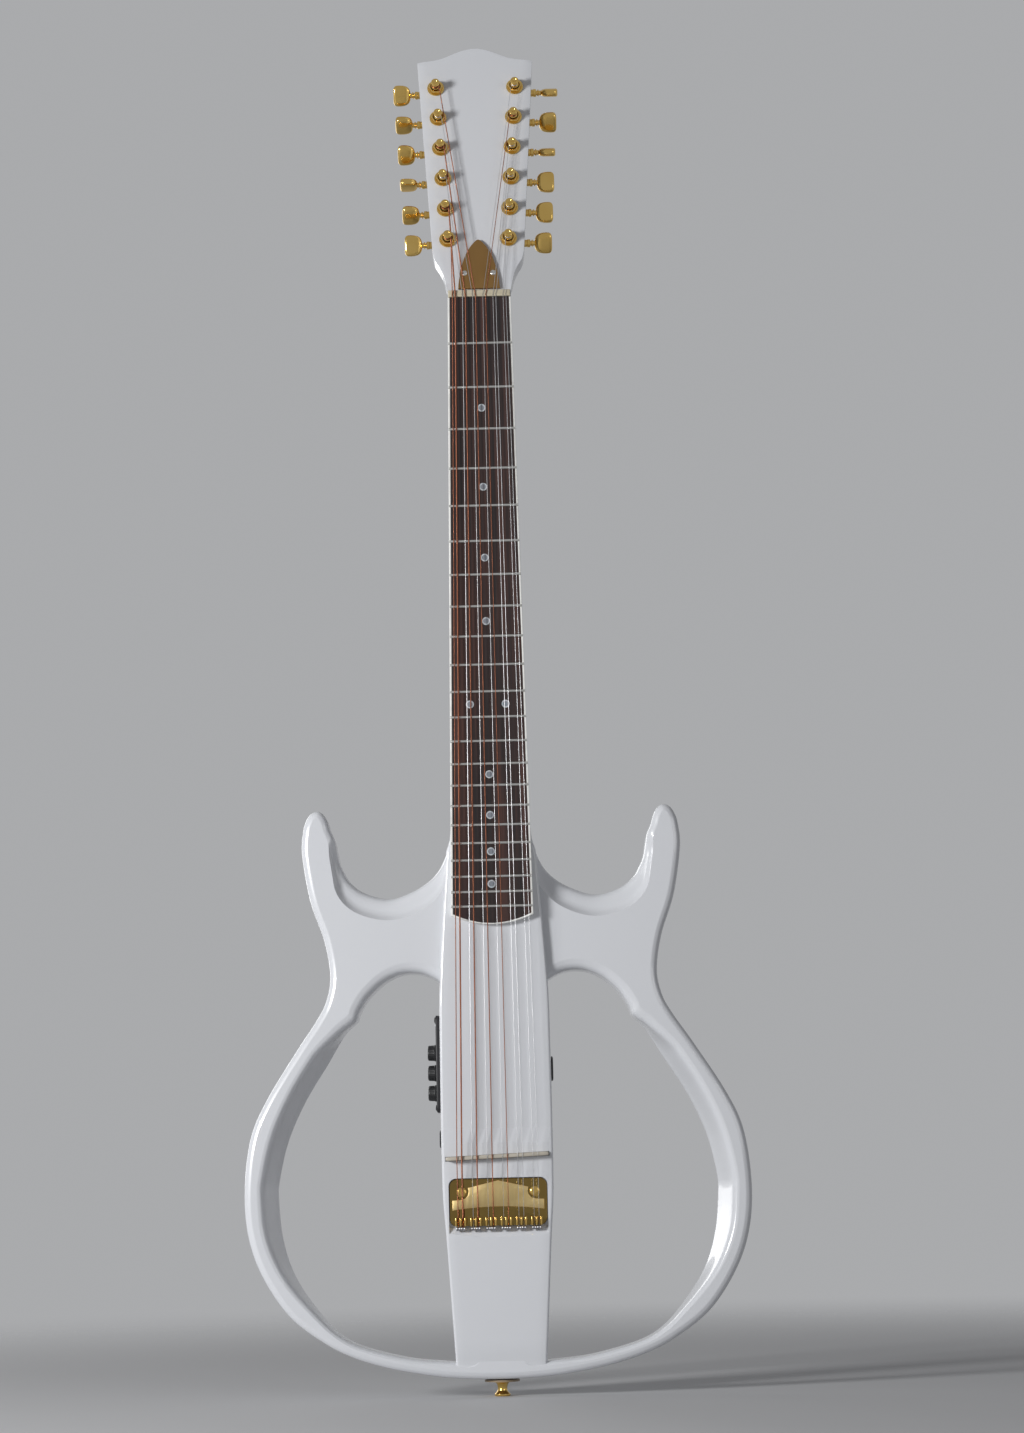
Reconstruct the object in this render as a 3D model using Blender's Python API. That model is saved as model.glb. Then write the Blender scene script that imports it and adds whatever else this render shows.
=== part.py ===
"""Silent guitar: twelve strings, a neck, a solid centre block and two open wings.

The guitar stands upright. +Z runs up the neck, the strings face -Y and +X is the treble
side. The origin is the middle of the tail strap button's end face. Lengths are in metres.
"""

import math

import bmesh
import bpy
from mathutils import Matrix, Vector

MM = 0.001

# Clearances
GAP = 0.3 * MM
BORE_CLEARANCE = 0.3 * MM

# Strings and scale
SCALE_LENGTH = 650.0 * MM
SADDLE_COMPENSATION = 2.6 * MM
FRET_COUNT = 22
COURSES = 6
NUT_COURSE_SPACING = 7.75 * MM
NUT_PAIR_GAP = 2.2 * MM
SADDLE_COURSE_SPACING = 11.2 * MM
SADDLE_PAIR_GAP = 3.6 * MM
WOUND_DIAMETERS = [0.69 * MM, 1.19 * MM, 0.46 * MM, 0.99 * MM, 0.76 * MM]
PLAIN_DIAMETERS = [0.36 * MM, 0.58 * MM, 0.30 * MM, 0.36 * MM, 0.36 * MM, 0.30 * MM, 0.30 * MM]
STRING_ORDER = "wwwwpwpppppp"

# Strap buttons
BUTTON_LENGTH = 10.3 * MM
BUTTON_RADIUS = 6.0 * MM
BUTTON_WAIST_RADIUS = 3.6 * MM
BUTTON_FOOT_RADIUS = 5.4 * MM
BUTTON_RIM = 2.0 * MM
FELT_THICKNESS = 1.6 * MM
FELT_RADIUS = 13.0 * MM
STRAP_SCREW_RADIUS = 1.7 * MM
STRAP_SCREW_REACH = 18.0 * MM

# Centre block, with heights above its tail end
SADDLE_HEIGHT = 162.9 * MM
BLOCK_LENGTH = 390.2 * MM
BLOCK_BACK = 21.0 * MM
TOP_FACE = -25.0 * MM
PLATFORM_RISE = 3.5 * MM
TAIL_FACE = -21.0 * MM
RIM_FACE = -18.6 * MM
RAMP_START = 20.9 * MM
RAMP_END = 9.9 * MM
PLATFORM_END = 57.9 * MM
TAIL_SLOPE_END = 15.5 * MM
BLOCK_HALF_WIDTHS = [(0.0, 19.0), (1.8, 32.6), (15.5, 33.7), (102.5, 38.7), (140.5, 41.0),
                     (268.5, 40.9), (295.5, 40.0), (390.2, 33.5)]
BLOCK_CHAMFER = 2.5 * MM

# Wings: outlines as (distance from the centre line, height above the tail end) in mm
WING_DEPTH = 38.0 * MM
OUTER_EDGE = [(131.5, 422.5), (139.0, 415.0), (142.0, 397.5), (140.5, 375.5), (133.5, 345.5),
              (124.5, 320.5), (122.1, 299.5), (127.0, 277.5), (148.1, 244.3), (171.0, 208.0),
              (183.5, 179.0), (188.6, 139.5), (185.5, 106.2), (175.0, 77.0), (155.4, 48.0),
              (130.0, 28.5), (109.5, 18.0), (85.7, 10.5), (60.0, 5.5), (34.0, 1.8)]
HOLE_EDGE = [(34.0, 12.9), (67.6, 16.5), (98.6, 24.5), (116.5, 32.5), (131.4, 47.5), (151.3, 76.5),
             (161.3, 105.5), (164.3, 134.5), (163.4, 149.5), (156.3, 178.5), (143.1, 207.5),
             (124.9, 236.5), (110.5, 258.5), (103.0, 265.5), (95.9, 280.1), (90.0, 287.5),
             (80.0, 296.0), (68.2, 300.2), (56.0, 300.1), (47.0, 298.0), (40.4, 292.5)]
CUTAWAY_EDGE = [(34.0, 388.5), (36.6, 383.5), (40.9, 376.5), (48.2, 369.5), (60.3, 362.5),
                (77.5, 357.3), (95.4, 361.9), (106.1, 369.5), (112.3, 379.5), (115.3, 391.5),
                (117.2, 399.5), (120.6, 407.5), (122.6, 415.5), (126.0, 422.3)]
OUTER_SPACING = 17.0 * MM
CUTAWAY_SPACING = 11.0 * MM
NOTCH_HEIGHT = 265.0 * MM
NOTCH_FADE = 30.0 * MM
FOOT_HEIGHT = 25.0 * MM
FOOT_FADE = 90.0 * MM
SCOOP_HEIGHT = 365.0 * MM
SCOOP_FADE = 30.0 * MM
SEAM_FADE = 15.0 * MM
TIP_HEIGHT = 408.0 * MM
TIP_FADE = 22.0 * MM

# Wing edge shapes, front to back: (mm into the wood, share of the half depth)
ROUND_SHAPE = [(5.0, -1.0), (1.6, -0.9), (0.0, -0.63), (0.0, 0.63), (1.6, 0.9), (5.0, 1.0)]
HOLE_SHAPE = [(7.0, -1.0), (2.0, -0.9), (0.0, -0.58), (0.0, 0.74), (0.6, 0.92), (2.0, 1.0)]
WALL_SHAPE = [(15.5, -1.0), (14.0, -0.84), (12.0, -0.58), (3.0, 0.53), (0.8, 0.84), (0.5, 1.0)]
FOOT_SHAPE = [(3.0, -1.0), (1.0, -0.9), (0.0, -0.63), (0.0, 0.63), (1.0, 0.9), (3.0, 1.0)]
SCOOP_SHAPE = [(14.0, -1.0), (6.5, -0.78), (0.0, -0.66), (0.0, 0.63), (1.6, 0.9), (5.0, 1.0)]
SEAM_SHAPE = [(0.0, -1.0), (0.0, -0.9), (0.0, -0.63), (0.0, 0.63), (0.0, 0.9), (0.0, 1.0)]

# Neck, with distances from the nut's front edge
NUT_WIDTH = 48.2 * MM
BOARD_END_WIDTH = 61.4 * MM
BOARD_CORNER_MARGIN = 6.4 * MM
BOARD_END_BULGE = 7.0 * MM
BOARD_THICKNESS = 6.0 * MM
NECK_DEPTH = 15.0 * MM
NECK_DEPTH_MIDDLE = 17.0 * MM
HEEL_LENGTH = 50.0 * MM
HEEL_SHARES = [(0.0, 0.0), (0.4, 0.12), (0.7, 0.45), (1.0, 1.0)]
NECK_SQUARENESS = 2.3
HEEL_SQUARENESS = 6.0
HEAD_SQUARENESS = 14.0
NUT_SQUARENESS = 3.3
SHELF_SQUARENESS = 4.3
SECTION_POINTS = 8

# Headstock, with distances along its face from the nut's front edge
HEAD_TILT = math.radians(10.0)
HEAD_STEP = 2.0 * MM
HEAD_THICKNESS = 15.0 * MM
HEAD_FLARE = [(12.0, 25.3), (20.0, 27.2), (27.0, 30.2), (33.0, 33.6), (41.0, 35.3)]
HEAD_TOP = [(203.5, 45.0), (204.7, 40.0), (205.5, 33.0), (207.1, 26.0), (210.3, 18.4), (213.5, 10.6),
            (215.4, 3.0)]

# Fretboard trim
BINDING_WIDTH = 1.5 * MM
FRET_HEIGHT = 1.0 * MM
FRET_WIDTH = 2.2 * MM
FRET_END_INSET = 0.2 * MM
FRET_FOOT = 0.8 * MM
NUT_THICKNESS = 5.4 * MM
NUT_STRING_LIFT = 1.5 * MM
NUT_BACK_DROP = 1.2 * MM

# Truss rod and its cover
ROD_CHANNEL_WIDTH = 6.6 * MM
ROD_CHANNEL_DEPTH = 10.0 * MM
ROD_CHANNEL_HEAD = 30.0 * MM
ROD_END_MARGIN = 12.0 * MM
ROD_NUT_LENGTH = 14.0 * MM
ROD_RADIUS = 2.2 * MM
COVER_BASE = 7.0 * MM
COVER_SHAPE = [(0.0, 16.0), (7.0, 15.4), (15.0, 14.2), (22.0, 12.3), (29.0, 9.8), (35.5, 6.2), (41.6, 0.0)]
COVER_THICKNESS = 2.2 * MM
COVER_SCREW_X = 11.0 * MM
COVER_SCREW_RISE = 13.0 * MM

# Saddle and tailpiece
SADDLE_LENGTH = 76.5 * MM
SADDLE_THICKNESS = 3.0 * MM
SADDLE_SLANT = math.radians(2.1)
SADDLE_STRING_LIFT = 5.5 * MM
SADDLE_DEPTH = 12.0 * MM
SADDLE_CROWN = 0.6 * MM
PIEZO_THICKNESS = 1.0 * MM
PLATE_WIDTH = 72.0 * MM
PLATE_HEIGHT = 34.5 * MM
PLATE_THICKNESS = 2.5 * MM
PLATE_BELOW_SADDLE = 16.1 * MM
PLATE_CORNER = 5.0 * MM
PLATE_SCREW_X = 27.0 * MM
PLATE_SCREW_DROP = 9.8 * MM
POCKET_DEPTH = 3.9 * MM
POCKET_MARGIN = 0.5 * MM
SCOOP_SIDE = 5.0 * MM
SCOOP_LENGTH = 3.3 * MM
COMB_RISE = 5.5 * MM
COMB_THICKNESS = 3.0 * MM
COMB_SLOT_DEPTH = 4.6 * MM
COMB_SLOT_CLEARANCE = 0.4 * MM
BALL_RADIUS = 1.7 * MM
BALL_LENGTH = 2.9 * MM
BALL_BAR_RADIUS = 0.9 * MM

# Tuners, with heights above the headstock's face
POSTS_PER_SIDE = 6
POST_START = 49.8 * MM
POST_SPACING = 26.2 * MM
POST_INSET_X = 23.4 * MM
POST_SPREAD_X = 1.5 * MM
POST_RADIUS = 3.3 * MM
POST_WAIST_RADIUS = 2.0 * MM
POST_TIP = 11.0 * MM
POST_WAIST = 6.8 * MM
POST_GROOVE_FOOT = 1.8 * MM
POST_GROOVE_RIM = 2.2 * MM
POST_GROOVE_SLOPE = 0.6 * MM
POST_SIDES = 10
WASHER_RADIUS = 6.6 * MM
WASHER_THICKNESS = 1.0 * MM
HEX_RADIUS = 5.6 * MM
HEX_HEIGHT = 3.0 * MM
SLEEVE_RADIUS = 4.7 * MM
POST_CLEARANCE = 0.6 * MM
GEAR_MODULE = 0.6 * MM
WHEEL_TEETH = 14
WHEEL_ADDENDUM = 0.5 * MM
WHEEL_DEDENDUM = 0.6 * MM
WHEEL_THICKNESS = 3.0 * MM
WORM_PITCH_RADIUS = 2.2 * MM
WORM_ADDENDUM = 0.45 * MM
WORM_DEDENDUM = 0.8 * MM
WORM_STEPS = 10
KEY_SETBACK = 7.0 * MM
HOUSING_HALF_WIDTH = 8.4 * MM
HOUSING_TOP = 11.2 * MM
HOUSING_BOTTOM = -7.4 * MM
HOUSING_DEPTH = 11.6 * MM
HOUSING_FRONT_WALL = 2.6 * MM
HOUSING_SIDE_WALL = 2.0 * MM
HOUSING_BACK_WALL = 1.2 * MM
HOUSING_NECK_REACH = 17.0 * MM
HOUSING_NECK_RADIUS = 3.1 * MM
KEY_SHAFT_RADIUS = 1.9 * MM
KEY_TAIL_RADIUS = 1.15 * MM
KEY_TAIL_REACH = 7.4 * MM
BUTTON_START = 20.5 * MM
KEY_BUTTON_WIDTH = 13.4 * MM
KEY_BUTTON_HEIGHT = 16.5 * MM
KEY_BUTTON_THICKNESS = 6.5 * MM
BASS_BUTTON_TURNS = [20, 63, 92, 52, 70, 35]
TREBLE_BUTTON_TURNS = [40, 10, 10, 120, 52, 120]

# Preamp on the bass side wall, with heights above the tail end
PREAMP_HEIGHT = 232.5 * MM
PREAMP_WALL = 41.2 * MM
BEZEL_LENGTH = 72.0 * MM
BEZEL_WIDTH = 30.0 * MM
BEZEL_THICKNESS = 3.2 * MM
BEZEL_CENTRE_Y = 2.0 * MM
BEZEL_SCREW_INSET = 3.4 * MM
MODULE_LENGTH = 56.0 * MM
MODULE_WIDTH = 22.0 * MM
MODULE_DEPTH = 21.0 * MM
KNOB_COUNT = 3
KNOB_SPACING = 15.0 * MM
KNOB_DROP = 6.5 * MM
KNOB_RADIUS = 6.2 * MM
KNOB_DEPTH = 6.2 * MM
KNOB_STEM_RADIUS = 3.0 * MM
PHONES_HEIGHT = 176.8 * MM
PHONES_RADIUS = 4.0 * MM
PHONES_LENGTH = 12.0 * MM
PHONES_BORE = 1.85 * MM
OUTPUT_HEIGHT = 227.5 * MM
OUTPUT_RADIUS = 6.6 * MM
OUTPUT_LENGTH = 27.0 * MM
OUTPUT_BORE = 3.45 * MM
SOCKET_FLANGE = 2.6 * MM
SOCKET_FLANGE_THICKNESS = 1.5 * MM
SOCKET_END_WALL = 2.0 * MM

# Battery bay in the back
BATTERY_LENGTH = 48.5 * MM
BATTERY_WIDTH = 26.5 * MM
BATTERY_DEPTH = 17.5 * MM
BATTERY_END_ROOM = 6.5 * MM
BATTERY_SIDE_ROOM = 2.4 * MM
BAY_HEIGHT = 76.5 * MM
LID_THICKNESS = 2.4 * MM
LID_CLEARANCE = 0.5 * MM
HINGE_INSET = 1.2 * MM
HINGE_ROOM = 1.0 * MM
HINGE_PEG_RADIUS = 0.8 * MM
HINGE_PEG_LENGTH = 2.0 * MM

# Screws, each made with the piece that it holds: head radius, shank radius, head, reach
PANEL_SCREW = (2.2 * MM, 1.1 * MM, 0.9 * MM, 9.0 * MM)
PLATE_SCREW = (3.8 * MM, 1.6 * MM, 1.0 * MM, 12.0 * MM)

# Places worked out from the sizes above
TAIL_Z = BUTTON_LENGTH + FELT_THICKNESS + 2 * GAP
SADDLE_Z = TAIL_Z + SADDLE_HEIGHT
NUT_Z = SADDLE_Z + SCALE_LENGTH + SADDLE_COMPENSATION
BLOCK_TOP_Z = TAIL_Z + BLOCK_LENGTH
BOARD_FACE = TOP_FACE - BOARD_THICKNESS
PLATFORM_FACE = TOP_FACE - PLATFORM_RISE
HEAD_FRAME = (Matrix.Translation((0.0, TOP_FACE - HEAD_STEP, NUT_Z))
              @ Matrix.Rotation(math.pi / 2 - HEAD_TILT, 4, "X") @ Matrix.Identity(4))
WHEEL_RADIUS = GEAR_MODULE * WHEEL_TEETH / 2
WORM_PITCH = math.pi * GEAR_MODULE
KEY_RISE = WHEEL_RADIUS + WORM_PITCH_RADIUS
KEY_HEIGHT = -(HEAD_THICKNESS + KEY_SETBACK)


def clear_scene():
    """Empty the file of every object it opened with."""
    for item in list(bpy.data.objects):
        bpy.data.objects.remove(item, do_unlink=True)


def paint(name, colour, roughness, metallic=0.0):
    """A plain Principled material."""
    material = bpy.data.materials.new(name)
    material.use_nodes = True
    shader = material.node_tree.nodes["Principled BSDF"]
    shader.inputs["Base Color"].default_value = (*colour, 1.0)
    shader.inputs["Roughness"].default_value = roughness
    shader.inputs["Metallic"].default_value = metallic
    return material


def add_object(name, bm, material, frame=None, smooth=True):
    """Turn a bmesh into an object whose origin sits at the given frame."""
    bmesh.ops.remove_doubles(bm, verts=bm.verts, dist=1e-6)
    bmesh.ops.recalc_face_normals(bm, faces=bm.faces)
    mesh = bpy.data.meshes.new(name)
    bm.to_mesh(mesh)
    bm.free()
    return place_mesh(name, mesh, material, frame, smooth)


def place_mesh(name, mesh, material, frame=None, smooth=True):
    """Show a mesh as a named object, shaded smooth between its sharp edges."""
    if smooth:
        mesh.shade_smooth()
        mesh.set_sharp_from_angle(angle=math.radians(35))
    item = bpy.data.objects.new(name, mesh)
    bpy.context.scene.collection.objects.link(item)
    if frame is not None:
        item.matrix_world = frame
    if material is not None and not mesh.materials:
        mesh.materials.append(material)
    return item


def combine(item, name, bm, operation="DIFFERENCE"):
    """Cut a shape out of an object, or add it, with a Boolean modifier."""
    tool = add_object(f"{item.name}_{name}_guide", bm, None, smooth=False)
    tool.matrix_world = item.matrix_world.copy()
    tool.hide_render = True
    tool.display_type = "WIRE"
    modifier = item.modifiers.new(name, "BOOLEAN")
    modifier.operation = operation
    modifier.solver = "EXACT"
    modifier.object = tool


def baked_mesh(item):
    """The finished mesh of an object with modifiers, and the object and its guides removed."""
    bpy.context.view_layer.update()
    graph = bpy.context.evaluated_depsgraph_get()
    mesh = bpy.data.meshes.new_from_object(item.evaluated_get(graph))
    guides = [modifier.object for modifier in item.modifiers]
    for spare in [item, *guides]:
        bpy.data.objects.remove(spare, do_unlink=True)
    return mesh


def add_box(bm, low, high, frame=None):
    """Add a box between two corners."""
    low, high = Vector(low), Vector(high)
    shape = Matrix.Translation((low + high) / 2) @ Matrix.Diagonal((*(high - low), 1.0))
    bmesh.ops.create_cube(bm, size=1.0, matrix=(frame or Matrix.Identity(4)) @ shape)


def add_rod(bm, start, end, radius, sides=12, end_radius=None):
    """Add a cylinder, or a cone, between two points."""
    start, end = Vector(start), Vector(end)
    run = end - start
    turn = run.to_track_quat("Z", "Y").to_matrix().to_4x4()
    bmesh.ops.create_cone(bm, cap_ends=True, segments=sides, radius1=radius,
                          radius2=radius if end_radius is None else end_radius,
                          depth=run.length, matrix=Matrix.Translation((start + end) / 2) @ turn)


def add_turned(bm, profile, sides, frame=None, ring=False):
    """Spin a profile of (radius, height) points about Z. A ring's profile closes on itself."""
    verts = [bm.verts.new((radius, 0.0, height)) for radius, height in profile]
    pairs = list(zip(verts, verts[1:]))
    if ring:
        pairs.append((verts[-1], verts[0]))
    edges = [bm.edges.new(pair) for pair in pairs]
    bmesh.ops.spin(bm, geom=verts + edges, cent=(0, 0, 0), axis=(0, 0, 1), angle=2 * math.pi,
                   steps=sides, use_merge=True)
    linked = connected(verts[0])
    if not ring:
        rims = [edge for edge in bm.edges if edge.is_boundary and edge.verts[0] in linked]
        bmesh.ops.holes_fill(bm, edges=rims, sides=0)
    if frame is not None:
        bmesh.ops.transform(bm, matrix=frame, verts=list(linked))


def connected(seed):
    """Every vertex that edges join to the seed."""
    found = {seed}
    front = [seed]
    while front:
        vert = front.pop()
        for edge in vert.link_edges:
            other = edge.other_vert(vert)
            if other not in found:
                found.add(other)
                front.append(other)
    return found


def add_loft(bm, rings):
    """Join rings of points, one after the other, and close both ends."""
    loops = [[bm.verts.new(point) for point in ring] for ring in rings]
    for near, far in zip(loops, loops[1:]):
        count = len(near)
        for i in range(count):
            j = (i + 1) % count
            bm.faces.new((near[i], near[j], far[j], far[i]))
    bm.faces.new(loops[0])
    bm.faces.new(list(reversed(loops[-1])))


def add_slab(bm, outline, low, high, frame=None):
    """Extrude a flat outline of (x, y) points from one height to another."""
    base = bm.faces.new([bm.verts.new((x, y, low)) for x, y in outline])
    grown = bmesh.ops.extrude_face_region(bm, geom=[base], use_keep_orig=True)
    top = [part for part in grown["geom"] if isinstance(part, bmesh.types.BMVert)]
    bmesh.ops.translate(bm, verts=top, vec=(0, 0, high - low))
    if frame is not None:
        bmesh.ops.transform(bm, matrix=frame, verts=list(base.verts) + top)


def smooth_path(points, spacing):
    """Points about one spacing apart along a smooth curve through the given ones."""
    path = [Vector(point) for point in points]
    path = [2 * path[0] - path[1]] + path + [2 * path[-1] - path[-2]]
    result = []
    for a, b, c, d in zip(path, path[1:], path[2:], path[3:]):
        steps = max(1, round((c - b).length / spacing))
        for step in range(steps):
            t = step / steps
            result.append(0.5 * (2 * b + (c - a) * t + (2 * a - 5 * b + 4 * c - d) * t * t
                                 + (3 * b - a - 3 * c + d) * t ** 3))
    result.append(path[-2])
    return result


def ramp(value, start, end):
    """0 at start, 1 at end and in step between."""
    return min(1.0, max(0.0, (value - start) / (end - start)))


def mix_shapes(first, second, share):
    """An edge shape part of the way from one to another."""
    return [(a[0] + (b[0] - a[0]) * share, a[1] + (b[1] - a[1]) * share)
            for a, b in zip(first, second)]


def in_steps(table, value):
    """Read a table of (place, size) pairs in a straight line between its rows."""
    for (a, low), (b, high) in zip(table, table[1:]):
        if value <= b:
            return low + (high - low) * ramp(value, a, b)
    return table[-1][1]


def block_half_width(height):
    """Half the centre block's width at a height above its tail end."""
    return in_steps(BLOCK_HALF_WIDTHS, height / MM) * MM


def fret_distance(number):
    """Distance of a fret from the nut's front edge."""
    return SCALE_LENGTH * (1 - 2 ** (-number / 12))


def board_corner():
    """Distance of the fretboard's end corners from the nut."""
    return fret_distance(FRET_COUNT) + BOARD_CORNER_MARGIN


def board_half_width(distance):
    """Half the fretboard's width with its binding, at a distance from the nut."""
    share = distance / board_corner()
    return (NUT_WIDTH + (BOARD_END_WIDTH - NUT_WIDTH) * share) / 2


def string_places():
    """Each string from the bass side: its kind, radius, and offsets at the nut and the saddle."""
    wound, plain = iter(WOUND_DIAMETERS), iter(PLAIN_DIAMETERS)
    places = []
    for number, kind in enumerate(STRING_ORDER):
        course, second = divmod(number, 2)
        radius = next(wound if kind == "w" else plain) / 2
        step = course - (COURSES - 1) / 2
        side = 1 if second else -1
        nut_x = step * NUT_COURSE_SPACING + side * NUT_PAIR_GAP / 2
        saddle_x = step * SADDLE_COURSE_SPACING + side * SADDLE_PAIR_GAP / 2
        places.append((kind, radius, nut_x, saddle_x))
    return places


def post_place(side, number):
    """A post's place on the headstock's face, number 0 being nearest the nut."""
    return Vector((side * (POST_INSET_X + POST_SPREAD_X * number), POST_START + POST_SPACING * number, 0.0))


def tuner_frame(side, number):
    """A post's own frame: X across, Y up the headstock, Z out of its face."""
    return HEAD_FRAME @ Matrix.Translation(post_place(side, number))


def saddle_z(x):
    """Height of the slanted saddle's middle line."""
    return SADDLE_Z + x * math.tan(SADDLE_SLANT)


def edge_section(kind, point):
    """The edge shape that the wing has at a point of its outline."""
    x, height = point
    if kind == "outer":
        return mix_shapes(SEAM_SHAPE, ROUND_SHAPE, tip_share(height))
    if kind == "hole":
        if height > (NOTCH_HEIGHT + FOOT_HEIGHT) / 2:
            return mix_shapes(HOLE_SHAPE, WALL_SHAPE, ramp(height, NOTCH_HEIGHT, NOTCH_HEIGHT - NOTCH_FADE))
        return mix_shapes(FOOT_SHAPE, WALL_SHAPE, ramp(height, FOOT_HEIGHT, FOOT_HEIGHT + FOOT_FADE))
    scooped = mix_shapes(ROUND_SHAPE, SCOOP_SHAPE, ramp(height, SCOOP_HEIGHT + SCOOP_FADE, SCOOP_HEIGHT))
    inset = x - block_half_width(height)
    return mix_shapes(SEAM_SHAPE, scooped, min(ramp(inset, 0.0, SEAM_FADE), tip_share(height)))


def tip_share(height):
    """How much of the edge's rounding is left near the horn's tip."""
    return 1.0 - 0.55 * ramp(height, TIP_HEIGHT, TIP_HEIGHT + TIP_FADE)


def wing_outline():
    """The treble wing's outline: (point, edge kind) in order round it."""
    def scaled(points):
        return [(x * MM, height * MM) for x, height in points]
    outer = smooth_path(scaled(OUTER_EDGE), OUTER_SPACING)
    hole = smooth_path(scaled(HOLE_EDGE), OUTER_SPACING)
    cutaway = smooth_path(scaled(CUTAWAY_EDGE), CUTAWAY_SPACING)
    for path in (outer, hole, cutaway):
        for end in (0, -1):
            if path[end].x < BLOCK_HALF_WIDTHS[-2][1] * MM + MM:
                path[end].x = block_half_width(path[end].y) + GAP
    return ([(point, "outer") for point in outer] + [(point, "hole") for point in hole]
            + [(point, "cutaway") for point in cutaway])


def seam_slides(outline):
    """Directions along the block's side for the four corners that lie on it."""
    kinds = [kind for _, kind in outline]
    last_outer = len(kinds) - 1 - kinds[::-1].index("outer")
    first_hole = kinds.index("hole")
    last_hole = len(kinds) - 1 - kinds[::-1].index("hole")
    first_cutaway = kinds.index("cutaway")
    return {last_outer: 1, first_hole: -1, last_hole: 1, first_cutaway: -1}


def wing_rings(side):
    """The wing's outline at each depth from front to back."""
    outline = wing_outline()
    slides = seam_slides(outline)
    count = len(outline)
    rings = [[] for _ in ROUND_SHAPE]
    for i, (point, kind) in enumerate(outline):
        before, after = outline[i - 1][0], outline[(i + 1) % count][0]
        inward = Vector((after.y - before.y, before.x - after.x)).normalized()
        if i in slides:
            rise = slides[i] * BLOCK_CHAMFER
            lean = block_half_width(point.y + rise) - block_half_width(point.y)
            inward = Vector((lean, rise)).normalized()
        for ring, (offset, depth) in zip(rings, edge_section(kind, point)):
            place = point + inward * offset * MM
            ring.append((side * place.x, depth * WING_DEPTH / 2, TAIL_Z + place.y))
    return rings


def build_wing(name, side, lacquer):
    """One wing: horn, shoulder and the rim round its hole."""
    bm = bmesh.new()
    add_loft(bm, wing_rings(side))
    add_object(name, bm, lacquer)


def rounded_section(half_width, front, back, squareness, z=0.0):
    """A neck section with a flat front and a rounded back."""
    points = []
    for i in range(SECTION_POINTS + 1):
        angle = math.pi * i / SECTION_POINTS
        across, deep = math.cos(angle), math.sin(angle)
        x = half_width * math.copysign(abs(across) ** (2 / squareness), across)
        y = front + (back - front) * abs(deep) ** (2 / squareness)
        points.append(Vector((x, y, z)))
    return points


def block_front(height):
    """The centre block's front face at a height above the tail end."""
    table = [(0.0, RIM_FACE), (TAIL_SLOPE_END, TAIL_FACE),
             (SADDLE_HEIGHT - PLATFORM_END, PLATFORM_FACE),
             (SADDLE_HEIGHT + RAMP_END, PLATFORM_FACE), (SADDLE_HEIGHT + RAMP_START, TOP_FACE),
             (BLOCK_LENGTH, TOP_FACE)]
    return in_steps(table, height)


def build_centre_block(lacquer):
    """The solid block that carries the bridge, the electronics and both wings."""
    heights = {row[0] * MM for row in BLOCK_HALF_WIDTHS if row[0] * MM < BLOCK_LENGTH}
    heights |= {TAIL_SLOPE_END, SADDLE_HEIGHT - PLATFORM_END, SADDLE_HEIGHT + RAMP_END,
                SADDLE_HEIGHT + RAMP_START, BLOCK_LENGTH}
    rings = []
    for height in sorted(heights):
        half, front = block_half_width(height), block_front(height)
        back = BLOCK_BACK - BLOCK_CHAMFER * (1 - ramp(height, 0.0, TAIL_SLOPE_END))
        c = BLOCK_CHAMFER
        rings.append([(x, y, TAIL_Z + height) for x, y in
                      [(-half, front + c), (-half + c, front), (half - c, front), (half, front + c),
                       (half, back - c), (half - c, back), (-half + c, back), (-half, back - c)]])
    bm = bmesh.new()
    add_loft(bm, rings)
    block = add_object("centre_block", bm, lacquer)
    combine(block, "tailpiece_pocket", tailpiece_pocket())
    combine(block, "saddle_slot", saddle_slot())
    combine(block, "preamp_cavity", preamp_cavity())
    combine(block, "battery_bay", battery_bay())
    combine(block, "hinge_holes", hinge_rod(bay_inside()[1].x + HINGE_PEG_LENGTH + GAP, BORE_CLEARANCE))
    combine(block, "bores", block_bores())


def tailpiece_top():
    """Upper edge of the tailpiece plate."""
    return SADDLE_Z - PLATE_BELOW_SADDLE


def tailpiece_back():
    """Back face of the tailpiece plate."""
    return PLATFORM_FACE + POCKET_DEPTH - GAP


def tailpiece_pocket():
    """The rounded pocket for the plate and the scoop below it."""
    half = PLATE_WIDTH / 2 + POCKET_MARGIN
    top = tailpiece_top() + POCKET_MARGIN
    bottom = tailpiece_top() - PLATE_HEIGHT - SCOOP_SIDE
    corner = PLATE_CORNER
    outline = [(half, bottom), (half, top - corner), (half - corner, top), (-half + corner, top),
               (-half, top - corner), (-half, bottom)]
    steps = 6
    for i in range(1, steps):
        x = -half + 2 * half * i / steps
        outline.append((x, bottom - SCOOP_LENGTH * (1 - (x / half) ** 2)))
    bm = bmesh.new()
    add_slab(bm, outline, -(PLATFORM_FACE + POCKET_DEPTH), -(BOARD_FACE - PLATE_WIDTH),
             Matrix.Rotation(math.pi / 2, 4, "X"))
    return bm


def saddle_frame():
    """The slanted saddle's own frame at the middle of its string line."""
    return Matrix.Translation((0, 0, SADDLE_Z)) @ Matrix.Rotation(-SADDLE_SLANT, 4, "Y")


def saddle_top():
    """Depth of the saddle's crown."""
    return BOARD_FACE - SADDLE_STRING_LIFT


def saddle_slot():
    """The slanted slot for the saddle and the piezo strip under it."""
    half = SADDLE_LENGTH / 2 + GAP
    floor = saddle_top() + SADDLE_DEPTH + PIEZO_THICKNESS + 2 * GAP
    deep = SADDLE_THICKNESS / 2 + GAP
    bm = bmesh.new()
    add_box(bm, (-half, saddle_top(), -deep), (half, floor, deep), saddle_frame())
    return bm


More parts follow.
